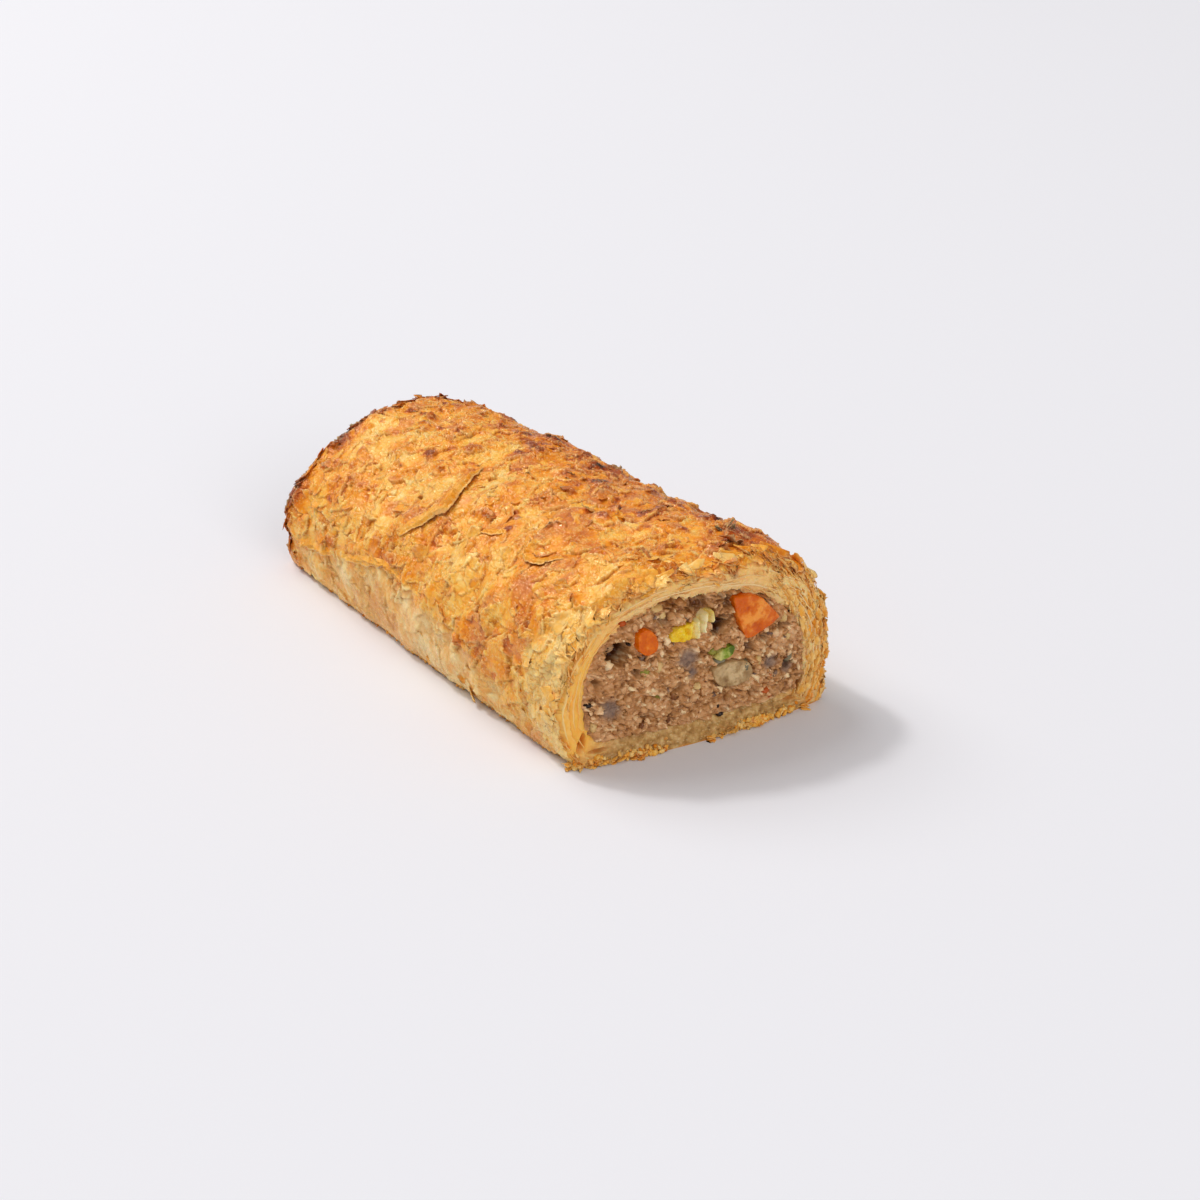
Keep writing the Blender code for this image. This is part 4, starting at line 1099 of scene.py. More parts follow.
def makeVegetable(name, corners, depth, proud, rounding, relief=0.25, fade=None, ruffle=0.0, around=150):
    # a diced piece: its outline carried from the hidden back to a softened front edge and closed over the front
    outline = roundCorners(corners, rounding)
    area = np.sum(outline[:, 0] * np.roll(outline[:, 1], -1) - np.roll(outline[:, 0], -1) * outline[:, 1])
    if area < 0:
        outline = outline[::-1]
    closed = np.vstack([outline, outline[:1]])
    outline = evenPoints(closed, np.linspace(0, 1, around + 1)[:-1])
    centre = outline.mean(axis=0)
    profile = [(0.45, -depth), (0.86, -depth + 0.3)]
    profile += [(0.86 + 0.14 * share, -depth + 0.3 + share * (depth * 0.5)) for share in (0.25, 0.5, 0.75, 1.0)]
    bevel = np.linspace(0, pi / 2, 7)
    profile += [(1.0 - 0.07 * (1 - cos(w)), proud - 0.55 + 0.55 * sin(w)) for w in bevel]
    profile += [(share, proud) for share in np.linspace(0.90, 0.03, 34)]
    rows = []
    for scale, front in profile:
        ring = centre + (outline - centre) * scale
        rows.append(np.c_[cutX(ring[:, 0]) + front, ring])
    rows = np.array(rows)
    seed = 140 + sum(ord(letter) for letter in name) % 50
    bumps = layeredNoise(rows[..., 1], rows[..., 2] + 0.7 * rows[..., 0], 2.4, seed, 4, 0.6)
    cell, cell2, cellTone = cellNoise(rows[..., 1], rows[..., 2], 0.8, seed + 1)
    outwardShare = np.clip((rows[..., 0] - cutX(rows[..., 1]) + 1.5) / 1.5, 0, 1)
    blend = softStep(*fade, rows[..., 1]) if fade else np.zeros(rows.shape[:2])
    folds = np.sin(4.0 * rows[..., 1] + 2.0 * layeredNoise(rows[..., 1], rows[..., 2], 2.0, seed + 4, 2)) * (0.2 + blend)
    rows[..., 0] += outwardShare * ruffle * folds
    rows[..., 0] += outwardShare * (relief * bumps + 0.25 * relief * (cell2 - cell))
    side = layeredNoise(np.arctan2(rows[..., 2] - centre[1], rows[..., 1] - centre[0]) * 6, rows[..., 0], 1.7, seed + 2, 3)
    rows[..., 1:] = centre + (rows[..., 1:] - centre) * (1 + 0.05 * side[..., None])
    tipBack = np.array([cutX(centre[0]) - depth, *centre])
    tipFront = rows[-1].mean(axis=0)
    grain = np.clip(0.5 + 0.8 * bumps + 0.25 * ruffle * folds, 0, 1)
    heart = np.clip(1 - np.linalg.norm(rows[..., 1:] - centre, axis=-1) / 5, 0, 1)
    return loftMesh(name + "_piece", rows, tipBack, tipFront, dict(grain=grain, heart=heart, blend=blend))


def moistFood(name, rough=0.35, subsurface=0.3, scaleMm=1.5, specular=0.3):
    # the settings that every cut, moist surface starts from
    material, nodes, links, shader = shaderMaterial(name)
    shader.inputs["Roughness"].default_value = rough
    shader.inputs["Specular IOR Level"].default_value = specular
    shader.inputs["Subsurface Weight"].default_value = subsurface
    shader.inputs["Subsurface Radius"].default_value = (1.0, 0.5, 0.25)
    shader.inputs["Subsurface Scale"].default_value = scaleMm * mm
    return material, nodes, links, shader


def addValues(nodes, links, first, second):
    return mathNode(nodes, links, "ADD", first, second)


def cutLayersMaterial(name, subsurface):
    material, nodes, links, shader = moistFood(name, 0.34, subsurface, 2.0, 0.16)
    mottle, fine, normal = placeGrain(nodes, 1.4, 0.4, 0.12)
    share = addValues(nodes, links, attributeNode(nodes, "tone"), mapValue(nodes, links, mottle, 0.3, 0.7, -0.12, 0.12))
    dry = colourRamp(nodes, links, share, ((0.0, (226, 160, 86)), (0.5, (246, 198, 124)), (1.0, (255, 226, 164))))
    wet = colourRamp(nodes, links, share, ((0.0, (206, 152, 92)), (0.5, (234, 190, 130)), (1.0, (250, 218, 166))))
    colour = mixColours(nodes, links, attributeNode(nodes, "moist"), dry, wet)
    golden = colourRamp(nodes, links, share, ((0.0, (236, 156, 48)), (0.5, (252, 186, 82)), (1.0, (255, 212, 126))))
    colour = mixColours(nodes, links, attributeNode(nodes, "warm"), colour, golden)
    dough = colourRamp(nodes, links, mottle, ((0.3, (152, 108, 56)), (0.5, (192, 148, 88)), (0.72, (228, 192, 132))))
    colour = mixColours(nodes, links, attributeNode(nodes, "foot"), colour, dough)
    fuzz = mapValue(nodes, links, attributeNode(nodes, "fuzz"), 0.2, 1, 0, 0.5)
    colour = mixColours(nodes, links, fuzz, colour, srgb(254, 212, 138))
    # painted highlight on the sheets' lips and painted shade in the grooves at their feet
    colour = mixColours(nodes, links, mapValue(nodes, links, attributeNode(nodes, "lip"), 0, 1, 0, 0.6), colour,
                        srgb(255, 236, 184))
    colour = mixColours(nodes, links, mapValue(nodes, links, attributeNode(nodes, "grooveShade"), 0, 1, 0, 0.55), colour,
                        srgb(198, 112, 34))
    colour = mixColours(nodes, links, mapValue(nodes, links, attributeNode(nodes, "skin"), 0.2, 1, 0, 0.8), colour,
                        srgb(226, 148, 66))
    links.new(colour, shader.inputs["Base Color"])
    links.new(normal, shader.inputs["Normal"])
    return material


def minceMaterial():
    material, nodes, links, shader = moistFood("cookedMince", 0.28, 0.12, 0.8, 0.35)
    mottle, fine, normal = placeGrain(nodes, 1.1, 0.6, 0.18)
    share = addValues(nodes, links, attributeNode(nodes, "tone"), mapValue(nodes, links, mottle, 0.3, 0.7, -0.16, 0.16))
    colour = colourRamp(nodes, links, share, ((0.08, (118, 66, 26)), (0.26, (170, 116, 66)), (0.48, (204, 148, 94)),
                                              (0.72, (226, 176, 126)), (0.95, (250, 216, 168))))
    # painted shade: the dark mask
    colour = mixColours(nodes, links, mapValue(nodes, links, attributeNode(nodes, "dark"), 0, 1, 0, 0.6), colour,
                        srgb(112, 62, 26))
    grey = colourRamp(nodes, links, mottle, ((0.3, (104, 80, 68)), (0.7, (156, 124, 102))))
    colour = mixColours(nodes, links, attributeNode(nodes, "gristle"), colour, grey)
    # painted shade at the bottom of the face's hollows
    colour = mixColours(nodes, links, attributeNode(nodes, "hollowShade"), colour, srgb(64, 26, 6))
    baked = colourRamp(nodes, links, mottle, ((0.3, (84, 38, 14)), (0.7, (156, 88, 40))))
    colour = mixColours(nodes, links, attributeNode(nodes, "baked"), colour, baked)
    links.new(colour, shader.inputs["Base Color"])
    links.new(normal, shader.inputs["Normal"])
    return material


vegetableLook = dict(
    carrot_large=dict(slot="carrot", colours=((200, 84, 0), (222, 108, 6), (246, 156, 60)), edge=(214, 92, 2)),
    carrot_small=dict(slot="carrot", colours=((212, 94, 0), (230, 116, 12), (246, 154, 58)), edge=(218, 96, 4)),
    leek_curl=dict(slot="leek", colours=((232, 178, 10), (244, 208, 50), (252, 236, 150)), edge=(236, 196, 40),
                   fade=((216, 186, 96), (250, 236, 186))),
    leek_green=dict(slot="leek_green", colours=((84, 106, 22), (134, 152, 44), (190, 196, 110)), edge=(120, 142, 40),
                    fade=((176, 160, 70), (226, 214, 140))),
    onion_piece=dict(slot="onion", colours=((138, 104, 64), (176, 142, 96), (214, 184, 138)), edge=(184, 150, 104)),
)


def vegetableMaterial(name, look):
    material, nodes, links, shader = moistFood(name + "Flesh", 0.2, 0.2, 0.9, 0.22)
    mottle, fine, normal = placeGrain(nodes, 1.5, 0.6, 0.22)
    share = addValues(nodes, links, attributeNode(nodes, "grain"), mapValue(nodes, links, mottle, 0.3, 0.7, -0.3, 0.3))
    low, middle, high = look["colours"]
    colour = colourRamp(nodes, links, share, ((0.1, low), (0.5, middle), (0.9, high)))
    if "fade" in look:
        faded = colourRamp(nodes, links, share, ((0.1, look["fade"][0]), (0.9, look["fade"][1])))
        colour = mixColours(nodes, links, attributeNode(nodes, "blend"), colour, faded)
    links.new(mixColours(nodes, links, mapValue(nodes, links, attributeNode(nodes, "heart"), 0, 0.5, 0.5, 0), colour,
                         srgb(*look["edge"])), shader.inputs["Base Color"])
    links.new(normal, shader.inputs["Normal"])
    return material


print("ends and filling")
layersFinish, minceFinish = cutLayersMaterial("cutPastryLayers", 0.4), minceMaterial()
thinLayersFinish = cutLayersMaterial("thinPastrySheets", 0.0)
finishPiece(makeUnderside(), crustFinish, "pastry", "pastry")
finishPiece(makeCutRing(), layersFinish, "pastry", "pastry")
finishPiece(makeFarRing(), crustFinish, "pastry", "pastry")
finishPiece(makeMinceFace(), minceFinish, "filling", "filling")
finishPiece(makeMinceBody(), minceFinish, "filling", "filling")
for name, plan in vegetablePlan.items():
    look = vegetableLook[name]
    finishPiece(makeVegetable(name, **plan), vegetableMaterial(name, look), look["slot"], name)


# thin leaves, ribbons and crumbs that stand clear of the surfaces above
leafPlan = dict(
    lifted=dict(count=44, seed=201, long=(2.0, 4.6), wide=(1.4, 3.2), lift=(0.2, 0.7), thick=0.14, rows=12, columns=9),
    small=dict(count=260, seed=203, long=(1.0, 2.6), wide=(0.7, 1.8), lift=(0.05, 0.32), thick=0.12, rows=6, columns=6),
    rim=dict(count=230, seed=205, long=(1.8, 4.6), wide=(1.4, 3.6), lift=(-0.8, 0.25), thick=0.14, rows=8, columns=8),
    far=dict(count=150, seed=211, long=(1.2, 3.0), wide=(0.8, 2.0), lift=(-0.4, 0.3), thick=0.14, rows=6, columns=5),
    foot=dict(count=90, seed=209, long=(0.8, 2.2), wide=(0.5, 1.3), lift=(0.0, 0.5), thick=0.16, rows=7, columns=6),
    wall=dict(count=230, seed=207, long=(0.6, 1.5), wide=(0.8, 2.2), lift=(-0.3, 0.3), thick=0.16, rows=6, columns=6),
)


def unit(vectors):
    return vectors / np.maximum(np.linalg.norm(vectors, axis=-1, keepdims=True), 1e-9)


def shellFaces(count, rows, columns):
    # thin closed sheets: each row is the upper side's points, then the lower side's on the way back
    size = 2 * columns
    index = np.arange(count * rows * size).reshape(count, rows, size)
    wrapped = np.concatenate([index, index[:, :, :1]], axis=2)
    quads = np.stack([wrapped[:, 1:, :-1], wrapped[:, 1:, 1:], wrapped[:, :-1, 1:], wrapped[:, :-1, :-1]], axis=-1)
    k = np.arange(columns - 1)
    first, last = index[:, 0], index[:, -1]
    start = np.stack([first[:, size - 2 - k], first[:, size - 1 - k], first[:, k], first[:, k + 1]], axis=-1)
    end = np.stack([last[:, size - 1 - k], last[:, size - 2 - k], last[:, k + 1], last[:, k]], axis=-1)
    return np.concatenate([quads.reshape(-1, 4), start.reshape(-1, 4), end.reshape(-1, 4)])


def leafCloud(name, plan, places, forward, normals, rng, tones):
    # each leaf is a ragged thin sheet, tucked in at its start and curling up to a free, torn end
    count, rows, columns = len(places), plan["rows"], plan["columns"]
    sideways = unit(np.cross(normals, forward))
    along = np.linspace(0, 1, rows)[None, :, None]
    across = np.linspace(-1, 1, columns)[None, None, :]

    def draw(low, high):
        return rng.uniform(low, high, count)[:, None, None]

    long_, wide, lift = draw(*plan["long"]), draw(*plan["wide"]), draw(*plan["lift"])
    torn = rng.uniform(-1, 1, (count, 1, columns)) * 0.16 * long_
    edge = rng.uniform(-1, 1, (count, rows, 1)) * 0.14
    shape = (1 - 0.55 * along ** 3) * (0.75 + 0.25 * np.sin(pi * np.clip(along + 0.15, 0, 1))) + edge
    bend, cup, skew = draw(-0.25, 0.25), draw(-0.25, 0.35), draw(-0.4, 0.4)
    run = long_ * along + torn * along
    side = wide * across * shape + bend * long_ * along ** 2 + skew * wide * along
    rise = lift * along ** 1.7 + cup * wide * across ** 2 * along - 0.12
    rise = rise + 0.06 * long_ * np.sin(draw(0, 6) + 5 * across + 4 * along) * along
    thick = plan["thick"] * draw(0.7, 1.3) * (1 - 0.4 * along)

    def placed(height):
        return (places[:, None, None] + forward[:, None, None] * run[..., None]
                + sideways[:, None, None] * side[..., None] + normals[:, None, None] * height[..., None])

    ring = np.concatenate([placed(rise + thick / 2), placed(rise - thick / 2)[:, :, ::-1]], axis=2)
    ring[..., 2] = np.maximum(ring[..., 2], 0.05)
    mesh = bpy.data.meshes.new(name)
    fillMesh(mesh, ring.reshape(-1, 3), shellFaces(count, rows, columns))
    # the free end and side edges are paled: a thin edge is lighter, and the paleness also serves as a painted highlight
    rim = np.clip(along ** 5 + np.abs(across) ** 8 * 0.8 * along, 0, 1) + 0 * side
    rim = np.concatenate([rim, rim[:, :, ::-1]], axis=2)
    tone = np.broadcast_to(tones[:, None, None], ring.shape[:3])
    toasted = tone + 0.06 + 0.12 * (np.concatenate([along + 0 * side, (along + 0 * side)[:, :, ::-1]], axis=2) - 0.5)
    plain = np.zeros(ring.shape[:3])
    values = dict(brown=np.clip(toasted, 0, 1), pale=0.75 * rim, crevice=plain, pink=plain, dough=plain)
    for key, value in values.items():
        giveAttribute(mesh, key, value)
    return linkPiece(name, mesh)


def skinFrame(i, j):
    # a place on the crust with its way along, its way around and the outward normal
    i, j = np.clip(i, 2, crustLook["alongCells"] - 2), np.clip(j, 3, crustLook["aroundCells"] - 3)
    alongWay = unit(crustGrid[i + 2, j] - crustGrid[i - 2, j])
    aroundWay = unit(crustGrid[i, j + 3] - crustGrid[i, j - 3])
    return crustGrid[i, j], alongWay, aroundWay, unit(np.cross(alongWay, aroundWay))


def turned(first, second, angle):
    return first * np.cos(angle)[:, None] + second * np.sin(angle)[:, None]


def makeSkinLeaves(kind):
    # leaves lifted off the crust, more of them on the flaky side and near the cut
    plan = leafPlan[kind]
    rng = np.random.default_rng(plan["seed"])
    wanted = plan["count"]
    i = (crustLook["alongCells"] * rng.beta(1.5, 1.05, wanted * 3)).astype(int)
    j = (crustLook["aroundCells"] * rng.uniform(0.03, 0.97, wanted * 3)).astype(int)
    i, j = np.clip(i, 0, crustLook["alongCells"]), np.clip(j, 0, crustLook["aroundCells"])
    keep = crustMap.dough[i, j] < rng.uniform(0.0, 1.3, len(i))
    i, j = i[keep][:wanted], j[keep][:wanted]
    place, alongWay, aroundWay, normal = skinFrame(i, j)
    forward = turned(alongWay, aroundWay, rng.uniform(0, 2 * pi, len(i)))
    tones = np.clip(crustMap.brown[i, j] + rng.normal(0, 0.07, len(i)), 0.05, 0.7)
    return leafCloud("crust_leaves_" + kind, plan, place, forward, normal, rng, tones)


def makeRimLeaves():
    # torn leaves of the skin that hang over the knife's edge
    plan = leafPlan["rim"]
    rng = np.random.default_rng(plan["seed"])
    j = (crustLook["aroundCells"] * rng.uniform(0.01, 0.99, plan["count"]) ** 0.6).astype(int)
    i = crustLook["alongCells"] - 3 - rng.integers(0, 9, plan["count"])
    place, alongWay, aroundWay, normal = skinFrame(i, j)
    forward = turned(alongWay, aroundWay, rng.normal(0, 0.3, len(i)))
    place = place - forward * rng.uniform(1.2, 2.6, len(i))[:, None]
    tones = np.clip(crustMap.brown[i, j] + rng.normal(-0.04, 0.09, len(i)), 0.02, 0.7)
    return leafCloud("rim_leaves", plan, place, forward, normal, rng, tones)


def makeFarLeaves():
    # the same at the baked end, fewer and darker
    plan = leafPlan["far"]
    rng = np.random.default_rng(plan["seed"])
    j = (crustLook["aroundCells"] * rng.uniform(0.01, 0.99, plan["count"])).astype(int)
    i = 3 + rng.integers(0, 9, plan["count"])
    place, alongWay, aroundWay, normal = skinFrame(i, j)
    forward = -turned(alongWay, aroundWay, rng.normal(0, 0.6, len(i)))
    place = place - forward * rng.uniform(1.0, 2.2, len(i))[:, None]
    tones = np.clip(crustMap.brown[i, j] + rng.normal(0.0, 0.10, len(i)), 0.15, 0.8)
    return leafCloud("far_leaves", plan, place, forward, normal, rng, tones)


def makeWallLeaves():
    # short torn sheets seen on edge in the cut wall, thickest on the right
    plan = leafPlan["wall"]
    rng = np.random.default_rng(plan["seed"])
    outer, inner = outerLoop(-1, 1.0)[:len(crustMap.turn)], liningLoop(1.0)[:len(crustMap.turn)]
    turn = np.where(rng.uniform(size=plan["count"]) < 0.85, rng.uniform(0.66, 0.985, plan["count"]),
                    rng.uniform(0.02, 0.66, plan["count"]))
    j = (turn * crustLook["aroundCells"]).astype(int).clip(2, crustLook["aroundCells"] - 2)
    share = np.where(turn > 0.6, rng.beta(1.0, 1.5, plan["count"]), rng.beta(1.0, 5.0, plan["count"]))[:, None]
    yz = outer[j] * (1 - share) + inner[j] * share
    place = np.c_[cutX(yz[:, 0]) - 0.3, yz]
    out = unit(outer[j] - inner[j])
    along = unit(outer[j + 1] - outer[j - 1])
    outWay, aroundWay = np.c_[0 * turn, out], np.c_[0 * turn, along]
    ahead = np.tile([1.0, 0.0, 0.0], (plan["count"], 1))
    tilt = rng.normal(0.15, 0.45, plan["count"])[:, None]
    forward = unit(ahead + outWay * tilt + aroundWay * rng.normal(0, 0.25, plan["count"])[:, None])
    normal = unit(outWay - forward * np.sum(outWay * forward, axis=1, keepdims=True))
    tones = np.clip(0.20 - 0.24 * share[:, 0] + rng.normal(0, 0.07, plan["count"]), 0.0, 0.5)
    return leafCloud("wall_leaves", plan, place, forward, normal, rng, tones)


def makeFootLeaves():
    # flat scraps lying along the foot of the cut and out from its near corner
    plan = leafPlan["foot"]
    rng = np.random.default_rng(plan["seed"])
    count = plan["count"]
    nearCorner = rng.uniform(size=count) < 0.4
    y = np.where(nearCorner, rng.normal(-27.5, 1.8, count), rng.choice(rng.uniform(-26, 30, 9), count) + rng.normal(0, 1.2, count))
    y = np.clip(y, -31.5, 31)
    place = np.c_[cutX(y) + rng.uniform(-1.2, 0.6, count) - 1.2 * nearCorner * rng.uniform(0, 1, count), y,
                  np.abs(rng.normal(0.3, 0.5, count)) + 0.15]
    angle = rng.normal(0, 0.9, count) - 0.5 * nearCorner
    forward = np.c_[np.cos(angle), np.sin(angle), rng.normal(0.05, 0.2, count)]
    side = np.c_[-np.sin(angle), np.cos(angle), rng.normal(0, 0.3, count)]
    forward = unit(forward)
    return leafCloud("foot_leaves", plan, place, forward, unit(np.cross(forward, side)), rng,
                     np.clip(rng.normal(0.14, 0.10, count), 0, 0.6))


# the longer sheets of the cut wall: (from turn, to turn, share of the wall, how far proud), left, top and right
ribbonPlan = (
    (0.02, 0.30, 0.16, 0.9), (0.06, 0.34, 0.36, 0.7), (0.03, 0.26, 0.58, 0.8), (0.10, 0.33, 0.80, 0.5),
    (0.30, 0.52, 0.22, 0.6), (0.36, 0.60, 0.55, 0.5), (0.44, 0.66, 0.34, 0.7), (0.52, 0.72, 0.70, 0.6),
    (0.62, 0.84, 0.18, 0.8), (0.66, 0.90, 0.42, 0.7), (0.74, 0.96, 0.62, 0.8), (0.78, 0.97, 0.86, 0.5),
    (0.84, 0.985, 0.26, 0.7),
)
ribbonLook = dict(cells=180, thick=0.24, bury=1.6, seed=231)


def makeRibbons():
    # each sheet follows the wall with a slow sway and a wavy free edge: four corners carried along a line
    rng = np.random.default_rng(ribbonLook["seed"])
    outer, inner = outerLoop(-1, 1.0)[:len(crustMap.turn)], liningLoop(1.0)[:len(crustMap.turn)]
    smoothOuter = np.c_[boxBlur(np.repeat(outer[:, :1], 2, 1), 21)[:, 0], boxBlur(np.repeat(outer[:, 1:], 2, 1), 21)[:, 0]]
    blocks, tones = [], []
    for number, (start, end, share, proud) in enumerate(ribbonPlan):
        turn = np.linspace(start, end, ribbonLook["cells"])
        way = turn * 124.0
        sway = share + 0.07 * layeredNoise(way, 0 * way + number * 9.1, 16.0, 232, 3) \
            + 0.035 * layeredNoise(way, 0 * way + number * 5.7, 3.0, 233, 3)
        yOut = np.interp(turn, crustMap.turn, smoothOuter[:, 0])
        zOut = np.interp(turn, crustMap.turn, smoothOuter[:, 1])
        yIn = np.interp(turn, crustMap.turn, inner[:, 0])
        zIn = np.interp(turn, crustMap.turn, inner[:, 1])
        line = np.c_[yOut + (yIn - yOut) * sway, zOut + (zIn - zOut) * sway]
        out = unit(np.c_[yOut - yIn, zOut - zIn])
        taper = np.sin(pi * np.linspace(0, 1, ribbonLook["cells"])) ** 0.45
        free = proud * taper * (0.75 + 0.45 * layeredNoise(way, 0 * way + number, 5.0, 234, 4, 0.7))
        lean = 0.35 * layeredNoise(way, 0 * way + number * 3.3, 7.0, 235, 2)
        thick = ribbonLook["thick"] * (0.6 + 0.8 * rng.uniform()) * (0.4 + 0.6 * taper)
        base = cutX(line[:, 0])
        corners = []
        for ahead, side in ((-ribbonLook["bury"], 0.5), (0.0, 0.5), (1.0, 0.35), (1.0, -0.35), (0.0, -0.5),
                            (-ribbonLook["bury"], -0.5)):
            x = base + (ahead * free if ahead > 0 else ahead)
            shift = side * thick + (lean * free if ahead > 0 else 0)
            corners.append(np.c_[x, line + out * np.asarray(shift)[:, None]])
        blocks.append(np.stack(corners, axis=1))
        tones.append(np.full((ribbonLook["cells"], 6), rng.uniform(0.35, 1.0)))
    ring = np.array(blocks)
    count, rows = ring.shape[:2]
    mesh = bpy.data.meshes.new("wall_sheets")
    fillMesh(mesh, ring.reshape(-1, 3), shellFaces(count, rows, 3)[:, ::-1])
    plain = np.zeros(ring.shape[:3])
    tip = plain.copy()
    tip[:, :, 2:4] = 1.0
    share = np.array([plan[2] for plan in ribbonPlan])[:, None, None] + plain
    warm = np.array([plan[1] < 0.35 for plan in ribbonPlan])[:, None, None] + plain
    # the ribbons' free tips get half the lips' painted highlight
    for key, value in dict(tone=np.array(tones), skin=plain, grooveShade=plain, lip=0.5 * tip, moist=share, foot=plain, fuzz=plain,
                           warm=warm).items():
        giveAttribute(mesh, key, value)
    return linkPiece("wall_sheets", mesh)


# loose grains: little lumps of twelve by eight faces or fewer, each squashed and turned its own way
def lumpCloud(name, places, sizes, rng, values, rough=0.28, rings=5, around=7, scales=None):
    count = len(places)
    theta = np.linspace(0, pi, rings + 2)[1:-1][None, :, None]
    phi = (np.arange(around) * 2 * pi / around)[None, None, :]
    radius = 1 + rng.uniform(-rough, rough, (count, rings, around))
    ball = np.stack([radius * np.sin(theta) * np.cos(phi), radius * np.sin(theta) * np.sin(phi),
                     radius * np.cos(theta) + 0 * phi], axis=-1).reshape(count, -1, 3)
    poles = np.tile([[0, 0, 1.0], [0, 0, -1.0]], (count, 1, 1)) * (1 + rng.uniform(-rough, rough, (count, 2, 1)))
    ball = np.concatenate([ball, poles], axis=1)
    if scales is None:
        ball = ball * rng.uniform(0.45, 1.3, (count, 1, 3))
        spin = np.linalg.qr(rng.normal(size=(count, 3, 3)))[0]
        spin = spin * np.sign(np.linalg.det(spin))[:, None, None]
        points = places[:, None] + np.einsum("nij,nkj->nki", spin, ball) * np.asarray(sizes)[:, None, None]
    else:
        points = places[:, None] + ball * scales[:, None]
    points[..., 2] = np.maximum(points[..., 2], 0.02)
    each = rings * around + 2
    index = np.arange(rings * around).reshape(rings, around)
    index = np.concatenate([index, index[:, :1]], axis=1)
    quads = np.stack([index[:-1, :-1], index[1:, :-1], index[1:, 1:], index[:-1, 1:]], axis=-1).reshape(-1, 4)
    top = np.stack([index[0, :-1], index[0, 1:], np.full(around, each - 2)], axis=-1)
    bottom = np.stack([index[-1, 1:], index[-1, :-1], np.full(around, each - 1)], axis=-1)
    step = (np.arange(count) * each)[:, None, None]
    quads = (quads[None] + step).reshape(-1, 4)
    triangles = (np.concatenate([top, bottom])[None] + step).reshape(-1, 3)
    mesh = bpy.data.meshes.new(name)
    fillMixedMesh(mesh, points.reshape(-1, 3), quads, triangles)
    for key, value in values.items():
        giveAttribute(mesh, key, np.repeat(np.asarray(value, dtype=float), each))
    return linkPiece(name, mesh)


grainPlan = dict(
    minceGrains=dict(count=420, seed=251, size=(0.35, 1.15)),
    floorCrumbs=dict(count=380, seed=253, size=(0.15, 0.75)),
    sideCrumbs=dict(count=260, seed=255, size=(0.12, 0.42)),
)


def makeMinceGrains():
    # meat grains half sunk in the face, clear of the vegetables and of the deeper hollows
    plan = grainPlan["minceGrains"]
    rng = np.random.default_rng(plan["seed"])
    y, z = rng.uniform(-28, 27, 6000), rng.uniform(5, 34, 6000)
    sizes = liningAt(1.0, 1.0)
    left, right = liningSpan(sizes, z)
    keep = (y > left) & (y < right) & (z > sizes["floor"] + 0.5) & (z < sizes["crownZ"] - 0.5)
    for spec in vegetablePlan.values():
        keep &= outlineDistance(spec["corners"], y, z) < -0.4
    share, depth = hollowShare(y, z)
    keep &= (share < 0.15) & (gristleShare(y, z) < 0.3)
    y, z = y[keep][:plan["count"]], z[keep][:plan["count"]]
    relief, tone, dark = minceRelief(y, z)
    size = rng.uniform(*plan["size"], len(y)) * rng.uniform(0.7, 1.0, len(y))
    places = np.c_[cutX(y) + relief - 0.25 * size, y, z]
    nothing = np.zeros(len(y))
    return lumpCloud("mince_grains", places, size, rng, dict(tone=np.clip(rng.normal(0.6, 0.22, len(y)), 0, 1), dark=nothing,
                     gristle=(rng.uniform(size=len(y)) < 0.03).astype(float), hollowShade=nothing, baked=nothing),
                     0.42, 4, 6)


def makeFloorCrumbs():
    # golden crumbs that cling along the foot of the cut and round its two corners
    plan = grainPlan["floorCrumbs"]
    rng = np.random.default_rng(plan["seed"])
    clusters = rng.uniform(-29, 31, 15)
    y = rng.choice(clusters, plan["count"]) + rng.normal(0, 1.3, plan["count"])
    y = np.clip(y, -29.5, 31.5)
    size = rng.uniform(*plan["size"], len(y))
    rise = np.abs(rng.normal(0, 0.8, len(y)))
    places = np.c_[cutX(y) + rng.uniform(-0.6, 0.9, len(y)) * (1 - np.minimum(rise, 1) * 0.4), y, size * 0.75 + rise]
    nothing = np.zeros(len(y))
    return lumpCloud("floor_crumbs", places, size, rng, dict(brown=np.clip(rng.normal(0.20, 0.13, len(y)), 0, 0.7),
                     pale=0.4 * (rng.uniform(size=len(y)) < 0.2), crevice=nothing, pink=nothing, dough=nothing), 0.35)


def makeSideCrumbs():
    # small crumbs caught along both feet of the roll
    plan = grainPlan["sideCrumbs"]
    rng = np.random.default_rng(plan["seed"])
    left = rng.uniform(size=plan["count"]) < 0.6
    t = rng.beta(1.6, 1.0, plan["count"])
    i = (t * crustLook["alongCells"]).astype(int).clip(2, crustLook["alongCells"] - 2)
    j = np.where(left, rng.integers(3, 14, plan["count"]), crustLook["aroundCells"] - rng.integers(3, 14, plan["count"]))
    place, alongWay, aroundWay, normal = skinFrame(i, j)
    size = rng.uniform(*plan["size"], plan["count"])
    place = place + normal * (size * 0.4)[:, None]
    place[:, 2] = np.maximum(place[:, 2], size * 0.8)
    nothing = np.zeros(plan["count"])
    return lumpCloud("side_crumbs", place, size, rng, dict(brown=np.clip(rng.normal(0.30, 0.12, plan["count"]), 0, 0.8),
                     pale=nothing, crevice=nothing, pink=nothing, dough=0.3 + nothing), 0.35)


